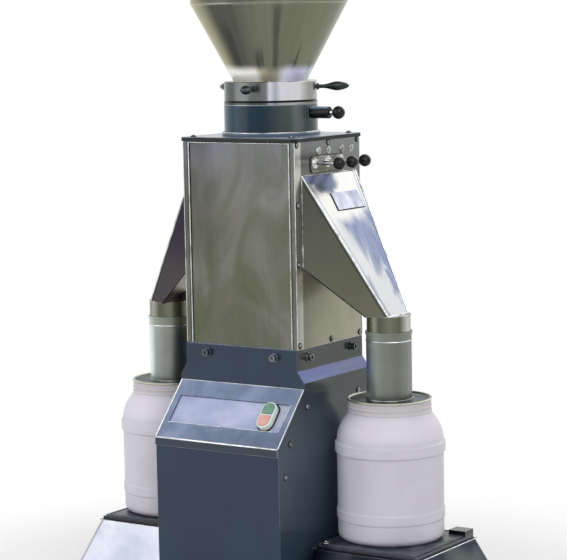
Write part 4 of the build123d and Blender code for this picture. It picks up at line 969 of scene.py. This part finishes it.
# Studio: a pale floor, soft light and the photograph's camera
def direct_view(tree):
    """1 for camera, glossy and transmission rays, and 0 for the rays that carry light."""
    path = tree.nodes.new("ShaderNodeLightPath")
    seen = path.outputs["Is Camera Ray"]
    for ray in ("Is Glossy Ray", "Is Transmission Ray"):
        either = tree.nodes.new("ShaderNodeMath")
        either.operation = "MAXIMUM"
        tree.links.new(seen, either.inputs[0])
        tree.links.new(path.outputs[ray], either.inputs[1])
        seen = either.outputs[0]
    return seen


WORLD_LIGHT = 0.62
world = bpy.data.worlds.new("studio")
bpy.context.scene.world = world
world.use_nodes = True
air = world.node_tree
strength = air.nodes.new("ShaderNodeMapRange")
air.links.new(direct_view(air), strength.inputs["Value"])
strength.inputs["To Min"].default_value = WORLD_LIGHT
strength.inputs["To Max"].default_value = 1.0
background = air.nodes["Background"]
background.inputs["Color"].default_value = (1, 1, 1, 1)
air.links.new(strength.outputs[0], background.inputs["Strength"])

FLOOR_HALF, FLOOR_NEAR, FLOOR_FAR = 12, 0.55, 1.1
mesh = bpy.data.meshes.new("floor")
mesh.from_pydata([(x * FLOOR_HALF, y * FLOOR_HALF, 0)
                  for x, y in ((-1, -1), (1, -1), (1, 1), (-1, 1))], [], [(0, 1, 2, 3)])
floor = bpy.data.objects.new("floor", mesh)
bpy.context.scene.collection.objects.link(floor)
floor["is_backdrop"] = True
g = Graph("floor")
g.set(base_color=(0.9, 0.9, 0.9, 1), roughness=0.8)
far = g.between(g.length(g.place), FLOOR_NEAR, FLOOR_FAR)
share = g.times(far, direct_view(g.tree))
white = g.node("ShaderNodeEmission")
blend = g.node("ShaderNodeMixShader", {0: share, 1: g.shader.outputs[0], 2: white.outputs[0]})
g.put(g.tree.nodes["Material Output"].inputs["Surface"], blend.outputs[0])
mesh.materials.append(g.material)

MIDDLE = Vector((0, 0, 0.6))


def lamp(name, place, size, power):
    """A square soft light that looks at the middle of the machine."""
    data = bpy.data.lights.new(name, "AREA")
    data.size = size
    data.energy = power
    made = bpy.data.objects.new(name, data)
    made.location = place
    made.rotation_euler = (MIDDLE - Vector(place)).to_track_quat("-Z", "Y").to_euler()
    bpy.context.scene.collection.objects.link(made)


lamp("key_light", (2.6, -2.0, 3.0), 3.2, 68)
lamp("fill_light", (-2.6, -2.6, 1.8), 3.0, 34)
lamp("back_light", (0.6, 3.0, 2.6), 2.8, 32)

# The camera as solved from the photo: directions, place in metres, lens and sensor in mm
YAW, PITCH, ROLL = (math.radians(angle) for angle in (33.749, 6.776, -1.111))
CAMERA_PLACE = (2.2751, -3.3702, 1.1003)
LENS, SENSOR = 139.2, 36
forward = Vector((-math.sin(YAW) * math.cos(PITCH), math.cos(YAW) * math.cos(PITCH),
                  -math.sin(PITCH)))
flat_right = Vector((math.cos(YAW), math.sin(YAW), 0))
flat_up = flat_right.cross(forward)
right = flat_right * math.cos(ROLL) + flat_up * math.sin(ROLL)
up = flat_up * math.cos(ROLL) - flat_right * math.sin(ROLL)
data = bpy.data.cameras.new("camera")
data.lens = LENS
data.sensor_width = SENSOR
camera = bpy.data.objects.new("camera", data)
turn = Matrix((right, up, -forward)).transposed().to_4x4()
camera.matrix_world = Matrix.Translation(CAMERA_PLACE) @ turn
bpy.context.scene.collection.objects.link(camera)
bpy.context.scene.camera = camera
bpy.context.scene.view_settings.view_transform = "Standard"

boxes = {"cad": cad_box, "visual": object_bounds()}
{key: [list(corner) for corner in box] for key, box in boxes.items()}
